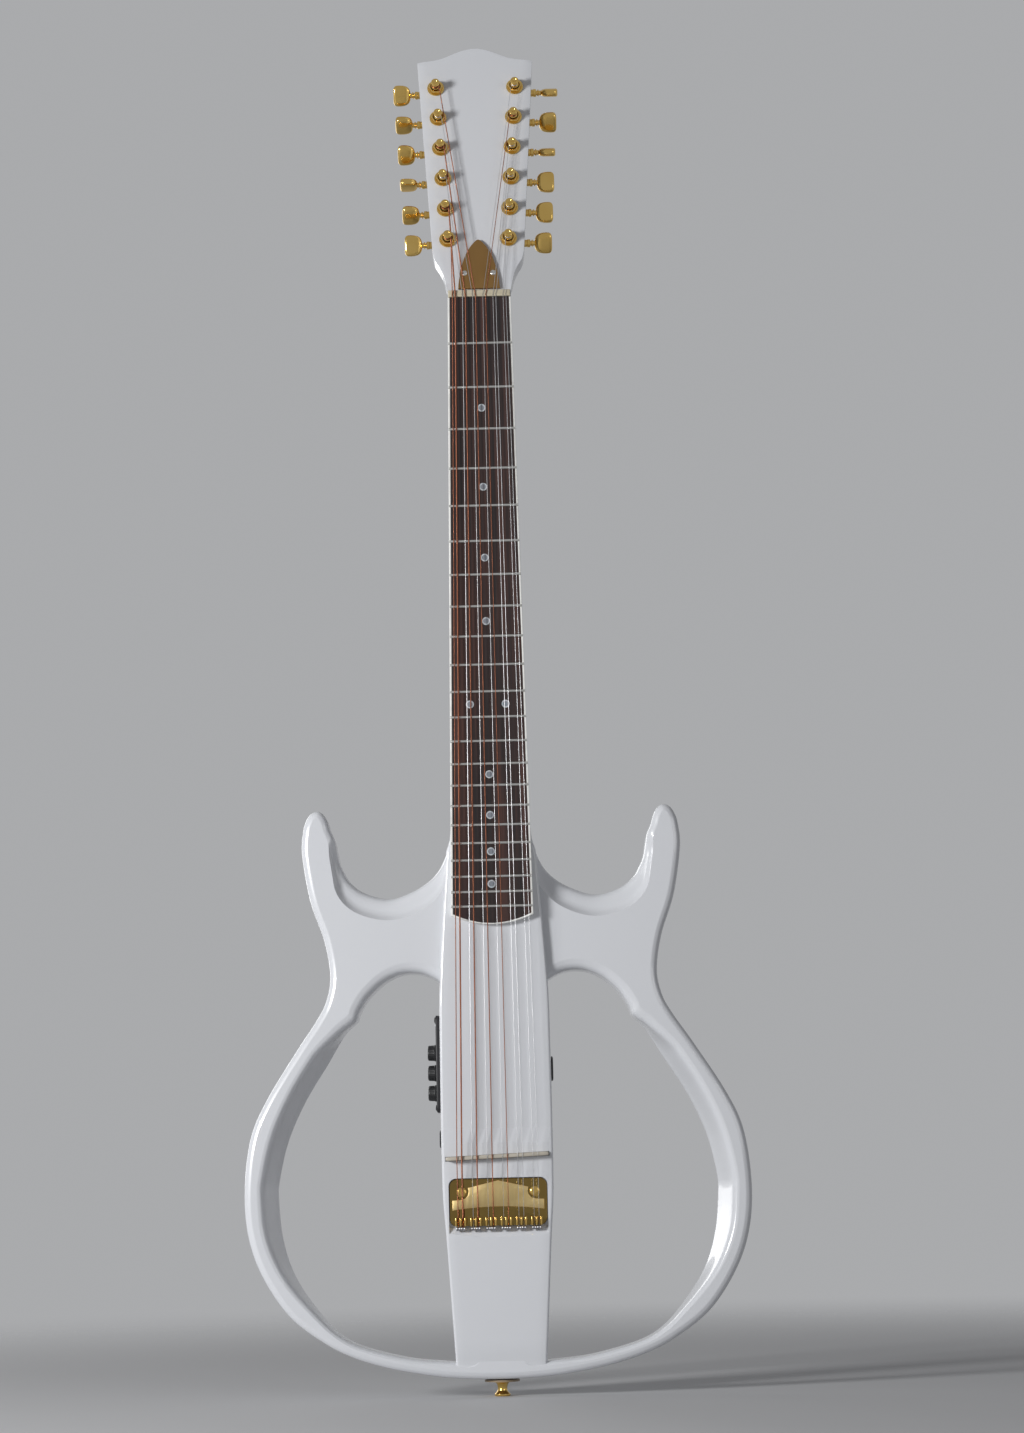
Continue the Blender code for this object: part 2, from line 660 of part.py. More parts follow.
def preamp_cavity():
    """The cavity behind the preamp bezel."""
    room = GAP
    z = TAIL_Z + PREAMP_HEIGHT
    bm = bmesh.new()
    add_box(bm, (-PREAMP_WALL - MODULE_DEPTH, BEZEL_CENTRE_Y - MODULE_WIDTH / 2 - room,
                 z - MODULE_LENGTH / 2 - room),
            (-PREAMP_WALL + MODULE_DEPTH + 2 * room, BEZEL_CENTRE_Y + MODULE_WIDTH / 2 + room,
             z + MODULE_LENGTH / 2 + room))
    return bm


def bay_inside():
    """Low and high corners of the battery bay, which is open at the back."""
    z = TAIL_Z + BAY_HEIGHT
    half_x = BATTERY_WIDTH / 2 + BATTERY_SIDE_ROOM
    half_z = (BATTERY_LENGTH + BATTERY_END_ROOM) / 2
    floor = BLOCK_BACK - LID_THICKNESS - BATTERY_DEPTH - 2 * GAP
    return Vector((-half_x, floor, z - half_z)), Vector((half_x, BLOCK_BACK, z + half_z))


def battery_bay():
    """The bay for the battery and its lid."""
    low, high = bay_inside()
    bm = bmesh.new()
    add_box(bm, low, (high.x, high.y + LID_THICKNESS, high.z))
    return bm


def hinge_point():
    """Middle of the battery lid's hinge line."""
    high = bay_inside()[1]
    return Vector((0.0, high.y - LID_THICKNESS / 2, high.z - HINGE_INSET - HINGE_ROOM))


def hinge_rod(reach, clearance=0.0):
    """A rod along the hinge line, for the lid's pegs and for their holes."""
    hinge = hinge_point()
    bm = bmesh.new()
    add_rod(bm, (-reach, hinge.y, hinge.z), (reach, hinge.y, hinge.z), HINGE_PEG_RADIUS + clearance, 8)
    return bm


def plate_screws():
    """Seat and direction of the tailpiece's two screws."""
    seat_y, seat_z = tailpiece_back() - PLATE_THICKNESS, tailpiece_top() - PLATE_SCREW_DROP
    return [(Vector((x, seat_y, seat_z)), Vector((0, 1, 0))) for x in (-PLATE_SCREW_X, PLATE_SCREW_X)]


def bezel_screws():
    """Seat and direction of the preamp bezel's four screws."""
    up = BEZEL_LENGTH / 2 - BEZEL_SCREW_INSET
    deep = BEZEL_WIDTH / 2 - BEZEL_SCREW_INSET
    seat = Vector((-PREAMP_WALL - BEZEL_THICKNESS, BEZEL_CENTRE_Y, TAIL_Z + PREAMP_HEIGHT))
    return [(seat + Vector((0, a * deep, b * up)), Vector((1, 0, 0))) for a in (-1, 1) for b in (-1, 1)]


def cover_screws():
    """Seat and direction of the truss rod cover's two screws."""
    rise = COVER_BASE + COVER_SCREW_RISE
    into = -HEAD_FRAME.col[2].xyz
    return [(HEAD_FRAME @ Vector((x, rise, GAP + COVER_THICKNESS)), into) for x in (-COVER_SCREW_X, COVER_SCREW_X)]


def screws(places, size):
    """Screws at their seats, each a round head over a plain shank."""
    head, shank, height, reach = size
    bm = bmesh.new()
    for seat, into in places:
        turn = into.to_track_quat("Z", "Y").to_matrix().to_4x4()
        add_turned(bm, [(0.8 * head, -height), (head, -0.4 * height), (head, 0.3 * height), (shank, 0.3 * height),
                        (shank, reach)], 8, Matrix.Translation(seat) @ turn)
    return bm


def add_screw_holes(bm, places, size):
    """Add the holes that a group of screws goes into."""
    _, shank, height, reach = size
    for seat, into in places:
        add_rod(bm, seat - into * height, seat + into * (reach + GAP), shank + BORE_CLEARANCE, 8)


def block_bores():
    """Holes for the jacks and for every screw that goes into the block."""
    bm = bmesh.new()
    for side, height, radius, length in socket_sizes():
        z = TAIL_Z + height
        add_rod(bm, (side * (PREAMP_WALL + length), 0, z), (side * (PREAMP_WALL - length), 0, z),
                radius + BORE_CLEARANCE, 12)
    add_screw_holes(bm, plate_screws(), PLATE_SCREW)
    add_screw_holes(bm, bezel_screws(), PANEL_SCREW)
    add_rod(bm, (0, 0, 0), (0, 0, TAIL_Z + STRAP_SCREW_REACH + GAP), STRAP_SCREW_RADIUS + BORE_CLEARANCE, 8)
    return bm


def socket_sizes():
    """Side, height, barrel radius and length of the phones socket and the output jack."""
    return [(-1, PHONES_HEIGHT, PHONES_RADIUS, PHONES_LENGTH),
            (1, OUTPUT_HEIGHT, OUTPUT_RADIUS, OUTPUT_LENGTH)]


def neck_sections():
    """Sections of the neck and headstock, from the heel joint up."""
    rings = []
    length = NUT_Z - BLOCK_TOP_Z - GAP
    heel_depth = BLOCK_BACK - TOP_FACE
    for share, swell in reversed(HEEL_SHARES):
        distance = length - HEEL_LENGTH * (1 - share)
        depth = NECK_DEPTH_MIDDLE + (heel_depth - NECK_DEPTH_MIDDLE) * swell
        half = board_half_width(distance)
        half += (block_half_width(BLOCK_LENGTH) - half) * swell
        square = NECK_SQUARENESS + (HEEL_SQUARENESS - NECK_SQUARENESS) * swell
        rings.append(rounded_section(half, TOP_FACE, TOP_FACE + depth, square, NUT_Z - distance))
    rings.append(rounded_section(board_half_width(length / 2), TOP_FACE, TOP_FACE + NECK_DEPTH_MIDDLE,
                                 NECK_SQUARENESS, NUT_Z - length / 2))
    rings.append(rounded_section(NUT_WIDTH / 2, TOP_FACE, TOP_FACE + NECK_DEPTH, NECK_SQUARENESS, NUT_Z))
    shelf = NUT_THICKNESS + 2 * GAP
    start = rounded_section(NUT_WIDTH / 2, 0.0, NECK_DEPTH, NUT_SQUARENESS)
    lean = Matrix.Translation((0, TOP_FACE, NUT_Z + shelf)) @ Matrix.Rotation(-HEAD_TILT / 2, 4, "X")
    rings.append([lean @ point for point in start])
    face_start = (shelf + GAP) / math.cos(HEAD_TILT)
    table = [(face_start, NUT_WIDTH / 2, SHELF_SQUARENESS)]
    table += [(s * MM, half * MM, HEAD_SQUARENESS) for s, half in HEAD_FLARE + HEAD_TOP]
    flat = HEAD_FRAME @ Matrix.Rotation(-math.pi / 2, 4, "X")
    for s, half, square in table:
        section = rounded_section(half, 0.0, HEAD_THICKNESS, square)
        rings.append([flat @ (point + Vector((0, 0, s))) for point in section])
    return rings


def build_neck(lacquer):
    """Neck and headstock in one piece, with the post holes and the truss rod's channel."""
    bm = bmesh.new()
    add_loft(bm, neck_sections())
    neck = add_object("neck", bm, lacquer)
    holes = bmesh.new()
    for side in (-1, 1):
        for number in range(POSTS_PER_SIDE):
            place = tuner_frame(side, number)
            add_rod(holes, place @ Vector((0, 0, HEAD_THICKNESS)), place @ Vector((0, 0, -2 * HEAD_THICKNESS)),
                    SLEEVE_RADIUS + 1.5 * BORE_CLEARANCE, 12)
    add_screw_holes(holes, cover_screws(), PANEL_SCREW)
    combine(neck, "holes", holes)
    channel = bmesh.new()
    half = ROD_CHANNEL_WIDTH / 2
    add_box(channel, (-half, TOP_FACE - ROD_CHANNEL_DEPTH, BLOCK_TOP_Z + ROD_END_MARGIN),
            (half, TOP_FACE + ROD_CHANNEL_DEPTH, NUT_Z + ROD_CHANNEL_HEAD))
    combine(neck, "rod_channel", channel)


def build_truss_rod(steel):
    """The rod in the neck and the nut that tightens it."""
    half = ROD_CHANNEL_WIDTH / 2 - GAP
    y = TOP_FACE + ROD_CHANNEL_DEPTH - GAP - half
    foot = BLOCK_TOP_Z + ROD_END_MARGIN + GAP
    top = NUT_Z + ROD_CHANNEL_HEAD - ROD_NUT_LENGTH - half
    profile = [(half, foot), (half, foot + ROD_NUT_LENGTH), (ROD_RADIUS, foot + ROD_NUT_LENGTH),
               (ROD_RADIUS, top), (half, top), (half, top + ROD_NUT_LENGTH)]
    bm = bmesh.new()
    add_turned(bm, profile, 8, Matrix.Translation((0, y, 0)))
    add_object("truss_rod", bm, steel)


def board_outline(inset, arc_steps=6):
    """The fretboard's outline, as (x, distance from the nut), kept inset from its edge."""
    corner = board_corner() - inset * 0.5
    half = board_half_width(corner) - inset
    points = [(-(NUT_WIDTH / 2 - inset), GAP)]
    for i in range(arc_steps + 1):
        x = -half + 2 * half * i / arc_steps
        points.append((x, corner + (BOARD_END_BULGE - inset * 0.5) * (1 - (x / half) ** 2)))
    points.append((NUT_WIDTH / 2 - inset, GAP))
    return points


def board_slab(bm, points, low, high):
    """Extrude an outline of the fretboard between two depths below its face."""
    add_slab(bm, [(x, -distance) for x, distance in points], low, high,
             Matrix.Translation((0, BOARD_FACE, NUT_Z)) @ Matrix.Rotation(math.pi / 2, 4, "X"))


def build_fretboard(rosewood, white):
    """The fretboard with its frets pressed in, and the binding round it."""
    depth = -(BOARD_THICKNESS - GAP)
    bm = bmesh.new()
    board_slab(bm, board_outline(BINDING_WIDTH + GAP), depth, 0.0)
    board = add_object("fretboard", bm, rosewood)
    combine(board, "frets", frets(), "UNION")
    trim = bmesh.new()
    board_slab(trim, board_outline(0.0) + list(reversed(board_outline(BINDING_WIDTH))), depth, 0.0)
    add_object("fretboard_binding", trim, white)


def frets():
    """The frets, one bar each, with their feet in the board."""
    bm = bmesh.new()
    w, h, foot = FRET_WIDTH / 2, FRET_HEIGHT, FRET_FOOT
    crown = [(-w, -foot), (-w, 0.3 * h), (-0.6 * w, 0.85 * h), (0, h), (0.6 * w, 0.85 * h), (w, 0.3 * h), (w, -foot)]
    for number in range(1, FRET_COUNT + 1):
        distance = fret_distance(number)
        half = board_half_width(distance) - BINDING_WIDTH - GAP - FRET_END_INSET
        frame = (Matrix.Translation((0, BOARD_FACE, NUT_Z - distance))
                 @ Matrix(((0, 0, 1, 0), (0, -1, 0, 0), (1, 0, 0, 0), (0, 0, 0, 1))))
        add_slab(bm, crown, -half, half, frame)
    return bm


def build_nut(bone):
    """The nut: a bar whose top falls away towards the headstock."""
    top, back = BOARD_FACE - NUT_STRING_LIFT, NUT_Z + NUT_THICKNESS
    outline = [(TOP_FACE - GAP, NUT_Z), (top, NUT_Z), (top + NUT_BACK_DROP, back), (TOP_FACE - GAP, back)]
    bm = bmesh.new()
    half = NUT_WIDTH / 2 - GAP
    add_slab(bm, outline, -half, half, Matrix(((0, 0, 1, 0), (1, 0, 0, 0), (0, 1, 0, 0), (0, 0, 0, 1))))
    add_object("nut", bm, bone)


def build_rod_cover(bronze):
    """The arched cover over the truss rod's nut, with its two screws."""
    points = [(half * MM, COVER_BASE + rise * MM) for rise, half in COVER_SHAPE]
    outline = points + [(-x, s) for x, s in reversed(points[:-1])]
    bm = bmesh.new()
    add_slab(bm, outline, GAP, GAP + COVER_THICKNESS, HEAD_FRAME)
    cover = add_object("truss_rod_cover", bm, bronze)
    combine(cover, "screws", screws(cover_screws(), PANEL_SCREW), "UNION")


def build_saddle(bone, braid):
    """The slanted saddle and the piezo strip that it presses on."""
    half, deep, top = SADDLE_LENGTH / 2, SADDLE_THICKNESS / 2, saddle_top()
    foot = top + SADDLE_DEPTH
    outline = [(foot, -deep), (top + SADDLE_CROWN, -deep), (top, 0), (top + SADDLE_CROWN, deep), (foot, deep)]
    bm = bmesh.new()
    frame = saddle_frame() @ Matrix(((0, 0, 1, 0), (1, 0, 0, 0), (0, 1, 0, 0), (0, 0, 0, 1)))
    add_slab(bm, outline, -half, half, frame)
    add_object("saddle", bm, bone)
    strip = bmesh.new()
    add_box(strip, (-half, foot + GAP, -deep + GAP), (half, foot + GAP + PIEZO_THICKNESS, deep - GAP),
            saddle_frame())
    add_object("piezo_strip", strip, braid)


def ball_z():
    """Height of the ball ends' middles."""
    return comb_z() - 2 * GAP - BALL_RADIUS


def comb_z():
    """Lower face of the comb."""
    return tailpiece_top() - PLATE_HEIGHT


def ball_depth():
    """Depth of the ball ends' middles."""
    return tailpiece_back() - PLATE_THICKNESS - BALL_RADIUS - GAP


def build_tailpiece(gold):
    """The plate that anchors the strings, with a comb along its lower edge."""
    back, front = tailpiece_back(), tailpiece_back() - PLATE_THICKNESS
    top, bottom, lip = tailpiece_top(), comb_z(), front - COMB_RISE
    half = PLATE_WIDTH / 2
    outline = [(back, bottom), (back, top), (front, top), (front, bottom + COMB_THICKNESS),
               (lip, bottom + COMB_THICKNESS), (lip, bottom)]
    bm = bmesh.new()
    add_slab(bm, outline, -half, half, Matrix(((0, 0, 1, 0), (1, 0, 0, 0), (0, 1, 0, 0), (0, 0, 0, 1))))
    corners = [edge for edge in bm.edges
               if all(abs(abs(v.co.x) - half) < GAP and abs(v.co.z - top) < GAP for v in edge.verts)]
    bmesh.ops.bevel(bm, geom=corners, offset=PLATE_CORNER, segments=3, profile=0.5, affect="EDGES",
                    material=-1)
    plate = add_object("tailpiece_plate", bm, gold)
    holes = bmesh.new()
    for _, radius, _, x in string_places():
        slot = radius + COMB_SLOT_CLEARANCE
        add_box(holes, (x - slot, lip - COMB_RISE, bottom - COMB_THICKNESS),
                (x + slot, lip + COMB_SLOT_DEPTH, bottom + 2 * COMB_THICKNESS))
    combine(plate, "slots", holes)
    combine(plate, "screws", screws(plate_screws(), PLATE_SCREW), "UNION")


def string_routes():
    """Each string as (radius, its points from the ball end to its post)."""
    routes = []
    for number, (_, radius, nut_x, saddle_x) in enumerate(string_places()):
        side = -1 if number < COURSES else 1
        rank = number if side < 0 else 2 * COURSES - 1 - number
        place = post_place(side, rank)
        end_x = place.x - side * (POST_WAIST_RADIUS + radius + GAP)
        post_end = HEAD_FRAME @ Vector((end_x, place.y, POST_WAIST))
        ball_end = Vector((saddle_x, ball_depth(), ball_z()))
        saddle_point = Vector((saddle_x, saddle_top() - GAP - radius, saddle_z(saddle_x)))
        nut_point = Vector((nut_x, BOARD_FACE - NUT_STRING_LIFT - GAP - radius, NUT_Z))
        routes.append((radius, [ball_end, saddle_point, nut_point, post_end]))
    return routes


def add_tube(bm, points, radius, sides):
    """Add a tube of one radius along a run of points."""
    rings = []
    for i, point in enumerate(points):
        ahead = points[min(i + 1, len(points) - 1)] - point
        behind = point - points[max(i - 1, 0)]
        along = (ahead.normalized() + behind.normalized()).normalized()
        across = (Vector((1, 0, 0)) - along * along.x).normalized()
        over = along.cross(across)
        rings.append([point + radius * (math.cos(a) * across + math.sin(a) * over)
                      for a in (2 * math.pi * step / sides for step in range(sides))])
    add_loft(bm, rings)


def build_strings(steel):
    """The set of strings, joined at their ball ends by the bar that the comb holds."""
    routes = string_routes()
    reach = max(points[0].x for _, points in routes)
    bar, balls, tubes = bmesh.new(), bmesh.new(), bmesh.new()
    add_rod(bar, (-reach, ball_depth(), ball_z()), (reach, ball_depth(), ball_z()), BALL_BAR_RADIUS, 6)
    strings = add_object("strings", bar, steel)
    for radius, points in routes:
        half = Vector((BALL_LENGTH / 2, 0, 0))
        add_rod(balls, points[0] - half, points[0] + half, BALL_RADIUS, 8)
        add_tube(tubes, points, radius, 6)
    combine(strings, "ball_ends", balls, "UNION")
    combine(strings, "tubes", tubes, "UNION")


def post_mesh():
    """One string post with its wheel, in its own frame."""
    foot = KEY_HEIGHT - WHEEL_THICKNESS / 2 - 2 * GAP
    low, rim = POST_WAIST - POST_GROOVE_FOOT, POST_WAIST + POST_GROOVE_RIM
    waist = [(POST_RADIUS, POST_TIP), (POST_RADIUS, rim), (POST_WAIST_RADIUS, rim - POST_GROOVE_SLOPE),
             (POST_WAIST_RADIUS, low + POST_GROOVE_SLOPE), (POST_RADIUS, low), (POST_RADIUS, foot)]
    bm = bmesh.new()
    add_turned(bm, waist, POST_SIDES)
    post = add_object("post_master", bm, None)
    wheel = bmesh.new()
    add_loft(wheel, [wheel_ring(-WHEEL_THICKNESS / 2), wheel_ring(WHEEL_THICKNESS / 2)])
    combine(post, "wheel", wheel, "UNION")
    return baked_mesh(post)


def wheel_ring(offset):
    """The wheel's toothed outline, turned to follow the worm's thread at this depth."""
    twist = WORM_PITCH / (2 * math.pi * WORM_PITCH_RADIUS) / WHEEL_RADIUS * offset
    points = []
    for i in range(2 * WHEEL_TEETH):
        angle = math.pi / 2 + math.pi * i / WHEEL_TEETH + twist
        radius = WHEEL_RADIUS + (WHEEL_ADDENDUM if i % 2 else -WHEEL_DEDENDUM)
        points.append((radius * math.cos(angle), radius * math.sin(angle), KEY_HEIGHT + offset))
    return points


def add_worm(bm):
    """A right-hand worm along X with a crest at the origin on its -Y side."""
    crest, root = WORM_PITCH_RADIUS + WORM_ADDENDUM, WORM_PITCH_RADIUS - WORM_DEDENDUM
    verts = []
    for i in range(5):
        radius = crest if i % 2 else root
        verts.append(bm.verts.new(((i - 3) * WORM_PITCH / 2, -radius, 0.0)))
    edges = [bm.edges.new(pair) for pair in zip(verts, verts[1:])]
    bmesh.ops.spin(bm, geom=verts + edges, cent=(0, 0, 0), axis=(1, 0, 0), angle=2 * math.pi,
                   steps=WORM_STEPS, dvec=(WORM_PITCH / WORM_STEPS, 0, 0), use_merge=False)
    bmesh.ops.remove_doubles(bm, verts=bm.verts, dist=WORM_PITCH / 50)
    for side in (-1, 1):
        rim = [edge for edge in bm.edges
               if edge.is_boundary and side * (edge.verts[0].co.x + edge.verts[1].co.x) > 0]
        grown = bmesh.ops.extrude_edge_only(bm, edges=rim)["geom"]
        tips = [part for part in grown if isinstance(part, bmesh.types.BMVert)]
        bmesh.ops.pointmerge(bm, verts=tips, merge_co=(side * WORM_PITCH, 0, 0))


def key_shaft_mesh():
    """The worm on its shaft, along X, treble side outwards."""
    bm = bmesh.new()
    add_worm(bm)
    shaft = add_object("shaft_master", bm, None)
    worm_end = 1.5 * WORM_PITCH + GAP
    core = bmesh.new()
    add_turned(core, [(KEY_TAIL_RADIUS, -KEY_TAIL_REACH), (KEY_TAIL_RADIUS, worm_end),
                      (KEY_SHAFT_RADIUS, worm_end), (KEY_SHAFT_RADIUS, BUTTON_START + KEY_BUTTON_WIDTH / 3)], 8,
               Matrix.Rotation(math.pi / 2, 4, "Y"))
    combine(shaft, "core", core, "UNION")
    return baked_mesh(shaft)


def key_button(turn, side):
    """A flat thumb button at the shaft's outer end, turned about the shaft."""
    shares = [(0.0, 0.45), (0.12, 0.8), (0.45, 1.0), (0.85, 0.97), (1.0, 0.7)]
    spin = Matrix.Rotation(math.radians(turn), 4, "X")
    rings = []
    for along, size in shares:
        x = side * (BUTTON_START + KEY_BUTTON_WIDTH * along)
        tall, thick = KEY_BUTTON_HEIGHT / 2 * size, KEY_BUTTON_THICKNESS / 2 * min(1.0, size + 0.1)
        rings.append([spin @ Vector((x, tall * a, thick * b)) for a, b in
                      [(1, 0.4), (0.6, 1), (-0.6, 1), (-1, 0.4), (-1, -0.4), (-0.6, -1), (0.6, -1), (1, -0.4)]])
    bm = bmesh.new()
    add_loft(bm, rings)
    return bm


def housing_mesh(side):
    """One tuner housing with its bushing, washer and hex nut, in its post's frame."""
    front = -(HEAD_THICKNESS + GAP)
    back = front - HOUSING_DEPTH
    key = Vector((0, KEY_RISE, KEY_HEIGHT))
    out = Vector((side, 0, 0))
    bm = bmesh.new()
    add_box(bm, (-HOUSING_HALF_WIDTH, HOUSING_BOTTOM, back), (HOUSING_HALF_WIDTH, HOUSING_TOP, front))
    housing = add_object("housing_master", bm, None)
    outer = bmesh.new()
    add_rod(outer, key + out * (HOUSING_HALF_WIDTH - HOUSING_SIDE_WALL), key + out * HOUSING_NECK_REACH,
            HOUSING_NECK_RADIUS, 10)
    washer_top = GAP + WASHER_THICKNESS
    add_turned(outer, [(SLEEVE_RADIUS, front - GAP), (SLEEVE_RADIUS, GAP), (WASHER_RADIUS, GAP),
                       (WASHER_RADIUS, washer_top)], 12)
    combine(housing, "neck_and_bushing", outer, "UNION")
    nut = bmesh.new()
    add_rod(nut, (0, 0, GAP + WASHER_THICKNESS / 2), (0, 0, washer_top + HEX_HEIGHT), HEX_RADIUS, 6)
    combine(housing, "hex_nut", nut, "UNION")
    room = bmesh.new()
    wall = Vector((HOUSING_SIDE_WALL, HOUSING_SIDE_WALL, HOUSING_BACK_WALL))
    add_box(room, Vector((-HOUSING_HALF_WIDTH, HOUSING_BOTTOM, back)) + wall,
            (HOUSING_HALF_WIDTH - wall.x, HOUSING_TOP - wall.y, front - HOUSING_FRONT_WALL))
    combine(housing, "room", room)
    post_hole = bmesh.new()
    add_rod(post_hole, (0, 0, front - HOUSING_DEPTH / 2), (0, 0, POST_TIP), POST_RADIUS + POST_CLEARANCE, 10)
    combine(housing, "post_hole", post_hole)
    key_bore = bmesh.new()
    add_rod(key_bore, key, key + out * 2 * HOUSING_NECK_REACH, KEY_SHAFT_RADIUS + BORE_CLEARANCE, 8)
    combine(housing, "key_bore", key_bore)
    tail_bore = bmesh.new()
    add_rod(tail_bore, key, key - out * 2 * HOUSING_HALF_WIDTH, KEY_TAIL_RADIUS + BORE_CLEARANCE, 8)
    combine(housing, "tail_bore", tail_bore)
    return baked_mesh(housing)


def build_tuners(gold):
    """Twelve tuners, each a housing, a post with its wheel and a key with its worm."""
    post, shaft = post_mesh(), key_shaft_mesh()
    for side, label, turns in ((-1, "bass", BASS_BUTTON_TURNS), (1, "treble", TREBLE_BUTTON_TURNS)):
        housing = housing_mesh(side)
        for number in range(POSTS_PER_SIDE):
            frame = tuner_frame(side, number)
            place_mesh(f"{label}_tuner_housing_{number + 1}", housing, gold, frame)
            place_mesh(f"{label}_tuner_post_{number + 1}", post, gold, frame)
            key = place_mesh(f"{label}_tuner_key_{number + 1}", shaft_for(shaft, side), gold,
                             frame @ Matrix.Translation((0, KEY_RISE, KEY_HEIGHT)))
            combine(key, "button", key_button(turns[number], side), "UNION")


def shaft_for(shaft, side):
    """The worm shaft's mesh, turned end for end on the bass side."""
    bm = bmesh.new()
    bm.from_mesh(shaft)
    if side < 0:
        bmesh.ops.rotate(bm, verts=bm.verts, cent=(0, 0, 0), matrix=Matrix.Rotation(math.pi, 3, "Y"))
    mesh = bpy.data.meshes.new("tuner_shaft")
    bm.to_mesh(mesh)
    bm.free()
    return mesh


def knob_z(number):
    """Height of a knob's axis, number 0 being the highest."""
    middle = TAIL_Z + PREAMP_HEIGHT - KNOB_DROP
    return middle + KNOB_SPACING * ((KNOB_COUNT - 1) / 2 - number)


def build_preamp(black, black_gloss):
    """Bezel, module and knobs on the bass side wall."""
    z = TAIL_Z + PREAMP_HEIGHT
    outside = -PREAMP_WALL - BEZEL_THICKNESS
    bm = bmesh.new()
    add_box(bm, (outside, BEZEL_CENTRE_Y - BEZEL_WIDTH / 2, z - BEZEL_LENGTH / 2),
            (-PREAMP_WALL, BEZEL_CENTRE_Y + BEZEL_WIDTH / 2, z + BEZEL_LENGTH / 2))
    bezel = add_object("preamp_bezel", bm, black)
    holes = bmesh.new()
    for number in range(KNOB_COUNT):
        add_rod(holes, (outside - BEZEL_THICKNESS, BEZEL_CENTRE_Y, knob_z(number)),
                (-PREAMP_WALL + BEZEL_THICKNESS, BEZEL_CENTRE_Y, knob_z(number)),
                KNOB_STEM_RADIUS + 2 * BORE_CLEARANCE, 12)
    combine(bezel, "holes", holes)
    combine(bezel, "screws", screws(bezel_screws(), PANEL_SCREW), "UNION")
    module = bmesh.new()
    add_box(module, (-PREAMP_WALL + GAP, BEZEL_CENTRE_Y - MODULE_WIDTH / 2, z - MODULE_LENGTH / 2),
            (-PREAMP_WALL + MODULE_DEPTH, BEZEL_CENTRE_Y + MODULE_WIDTH / 2, z + MODULE_LENGTH / 2))
    add_object("preamp_module", module, black)
    names = ("volume_knob", "treble_knob", "bass_knob")
    for number, name in enumerate(names[:KNOB_COUNT]):
        build_knob(name, number, outside, black_gloss)


def build_knob(name, number, outside, material):
    """One knob and its stem, with its origin on its axis at the bezel's face."""
    stem = BEZEL_THICKNESS
    near, far = GAP, GAP + KNOB_DEPTH
    profile = [(KNOB_STEM_RADIUS, -stem), (KNOB_STEM_RADIUS, near), (KNOB_RADIUS, near),
               (KNOB_RADIUS - 0.4 * MM, far - 0.6 * MM), (KNOB_RADIUS - 1.1 * MM, far)]
    bm = bmesh.new()
    add_turned(bm, profile, 16)
    frame = Matrix.Translation((outside, BEZEL_CENTRE_Y, knob_z(number))) @ Matrix.Rotation(-math.pi / 2, 4, "Y")
    add_object(name, bm, material, frame)


def build_sockets(black):
    """The phones socket on the bass side and the output jack on the treble side."""
    bores = (PHONES_BORE, OUTPUT_BORE)
    for (side, height, radius, length), bore, name in zip(socket_sizes(), bores, ("phones_socket", "output_jack")):
        face = SOCKET_FLANGE_THICKNESS
        profile = [(radius, -length), (radius, 0.0), (radius + SOCKET_FLANGE, 0.0),
                   (radius + SOCKET_FLANGE, face * 0.6), (radius + SOCKET_FLANGE * 0.7, face), (bore, face),
                   (bore, -length + SOCKET_END_WALL)]
        bm = bmesh.new()
        frame = (Matrix.Translation((side * (PREAMP_WALL + GAP), 0.0, TAIL_Z + height))
                 @ Matrix.Rotation(side * math.pi / 2, 4, "Y"))
        add_turned(bm, profile, 12, frame)
        add_object(name, bm, black)


def build_battery(black, metal):
    """The battery in its bay, and the lid that closes the bay."""
    low, high = bay_inside()
    foot = low.z + GAP
    bm = bmesh.new()
    add_box(bm, (-BATTERY_WIDTH / 2, low.y + GAP, foot),
            (BATTERY_WIDTH / 2, low.y + GAP + BATTERY_DEPTH, foot + BATTERY_LENGTH))
    add_object("battery", bm, metal)
    hinge = hinge_point()
    half_x = high.x - LID_CLEARANCE
    lid_box = bmesh.new()
    add_box(lid_box, (-half_x, -LID_THICKNESS / 2, low.z + LID_CLEARANCE - hinge.z),
            (half_x, LID_THICKNESS / 2, HINGE_INSET))
    lid = add_object("battery_lid", lid_box, black, Matrix.Translation(hinge))
    pegs = hinge_rod(high.x + HINGE_PEG_LENGTH)
    bmesh.ops.translate(pegs, verts=pegs.verts, vec=-hinge)
    combine(lid, "pegs", pegs, "UNION")


def build_strap_button(gold, felt):
    """The strap button at the tail with its screw, on a felt washer."""
    profile = [(BUTTON_RADIUS, 0.0), (BUTTON_RADIUS, BUTTON_RIM), (BUTTON_WAIST_RADIUS, BUTTON_LENGTH * 0.4),
               (BUTTON_WAIST_RADIUS, BUTTON_LENGTH * 0.75), (BUTTON_FOOT_RADIUS, BUTTON_LENGTH),
               (STRAP_SCREW_RADIUS, BUTTON_LENGTH), (STRAP_SCREW_RADIUS, TAIL_Z + STRAP_SCREW_REACH)]
    button, washer = bmesh.new(), bmesh.new()
    add_turned(button, profile, 16)
    add_object("tail_strap_button", button, gold)
    start, end = BUTTON_LENGTH + GAP, BUTTON_LENGTH + GAP + FELT_THICKNESS
    bore = STRAP_SCREW_RADIUS + BORE_CLEARANCE
    add_turned(washer, [(FELT_RADIUS, start), (FELT_RADIUS, end), (bore, end), (bore, start)], 16, ring=True)
    add_object("tail_strap_felt", washer, felt)


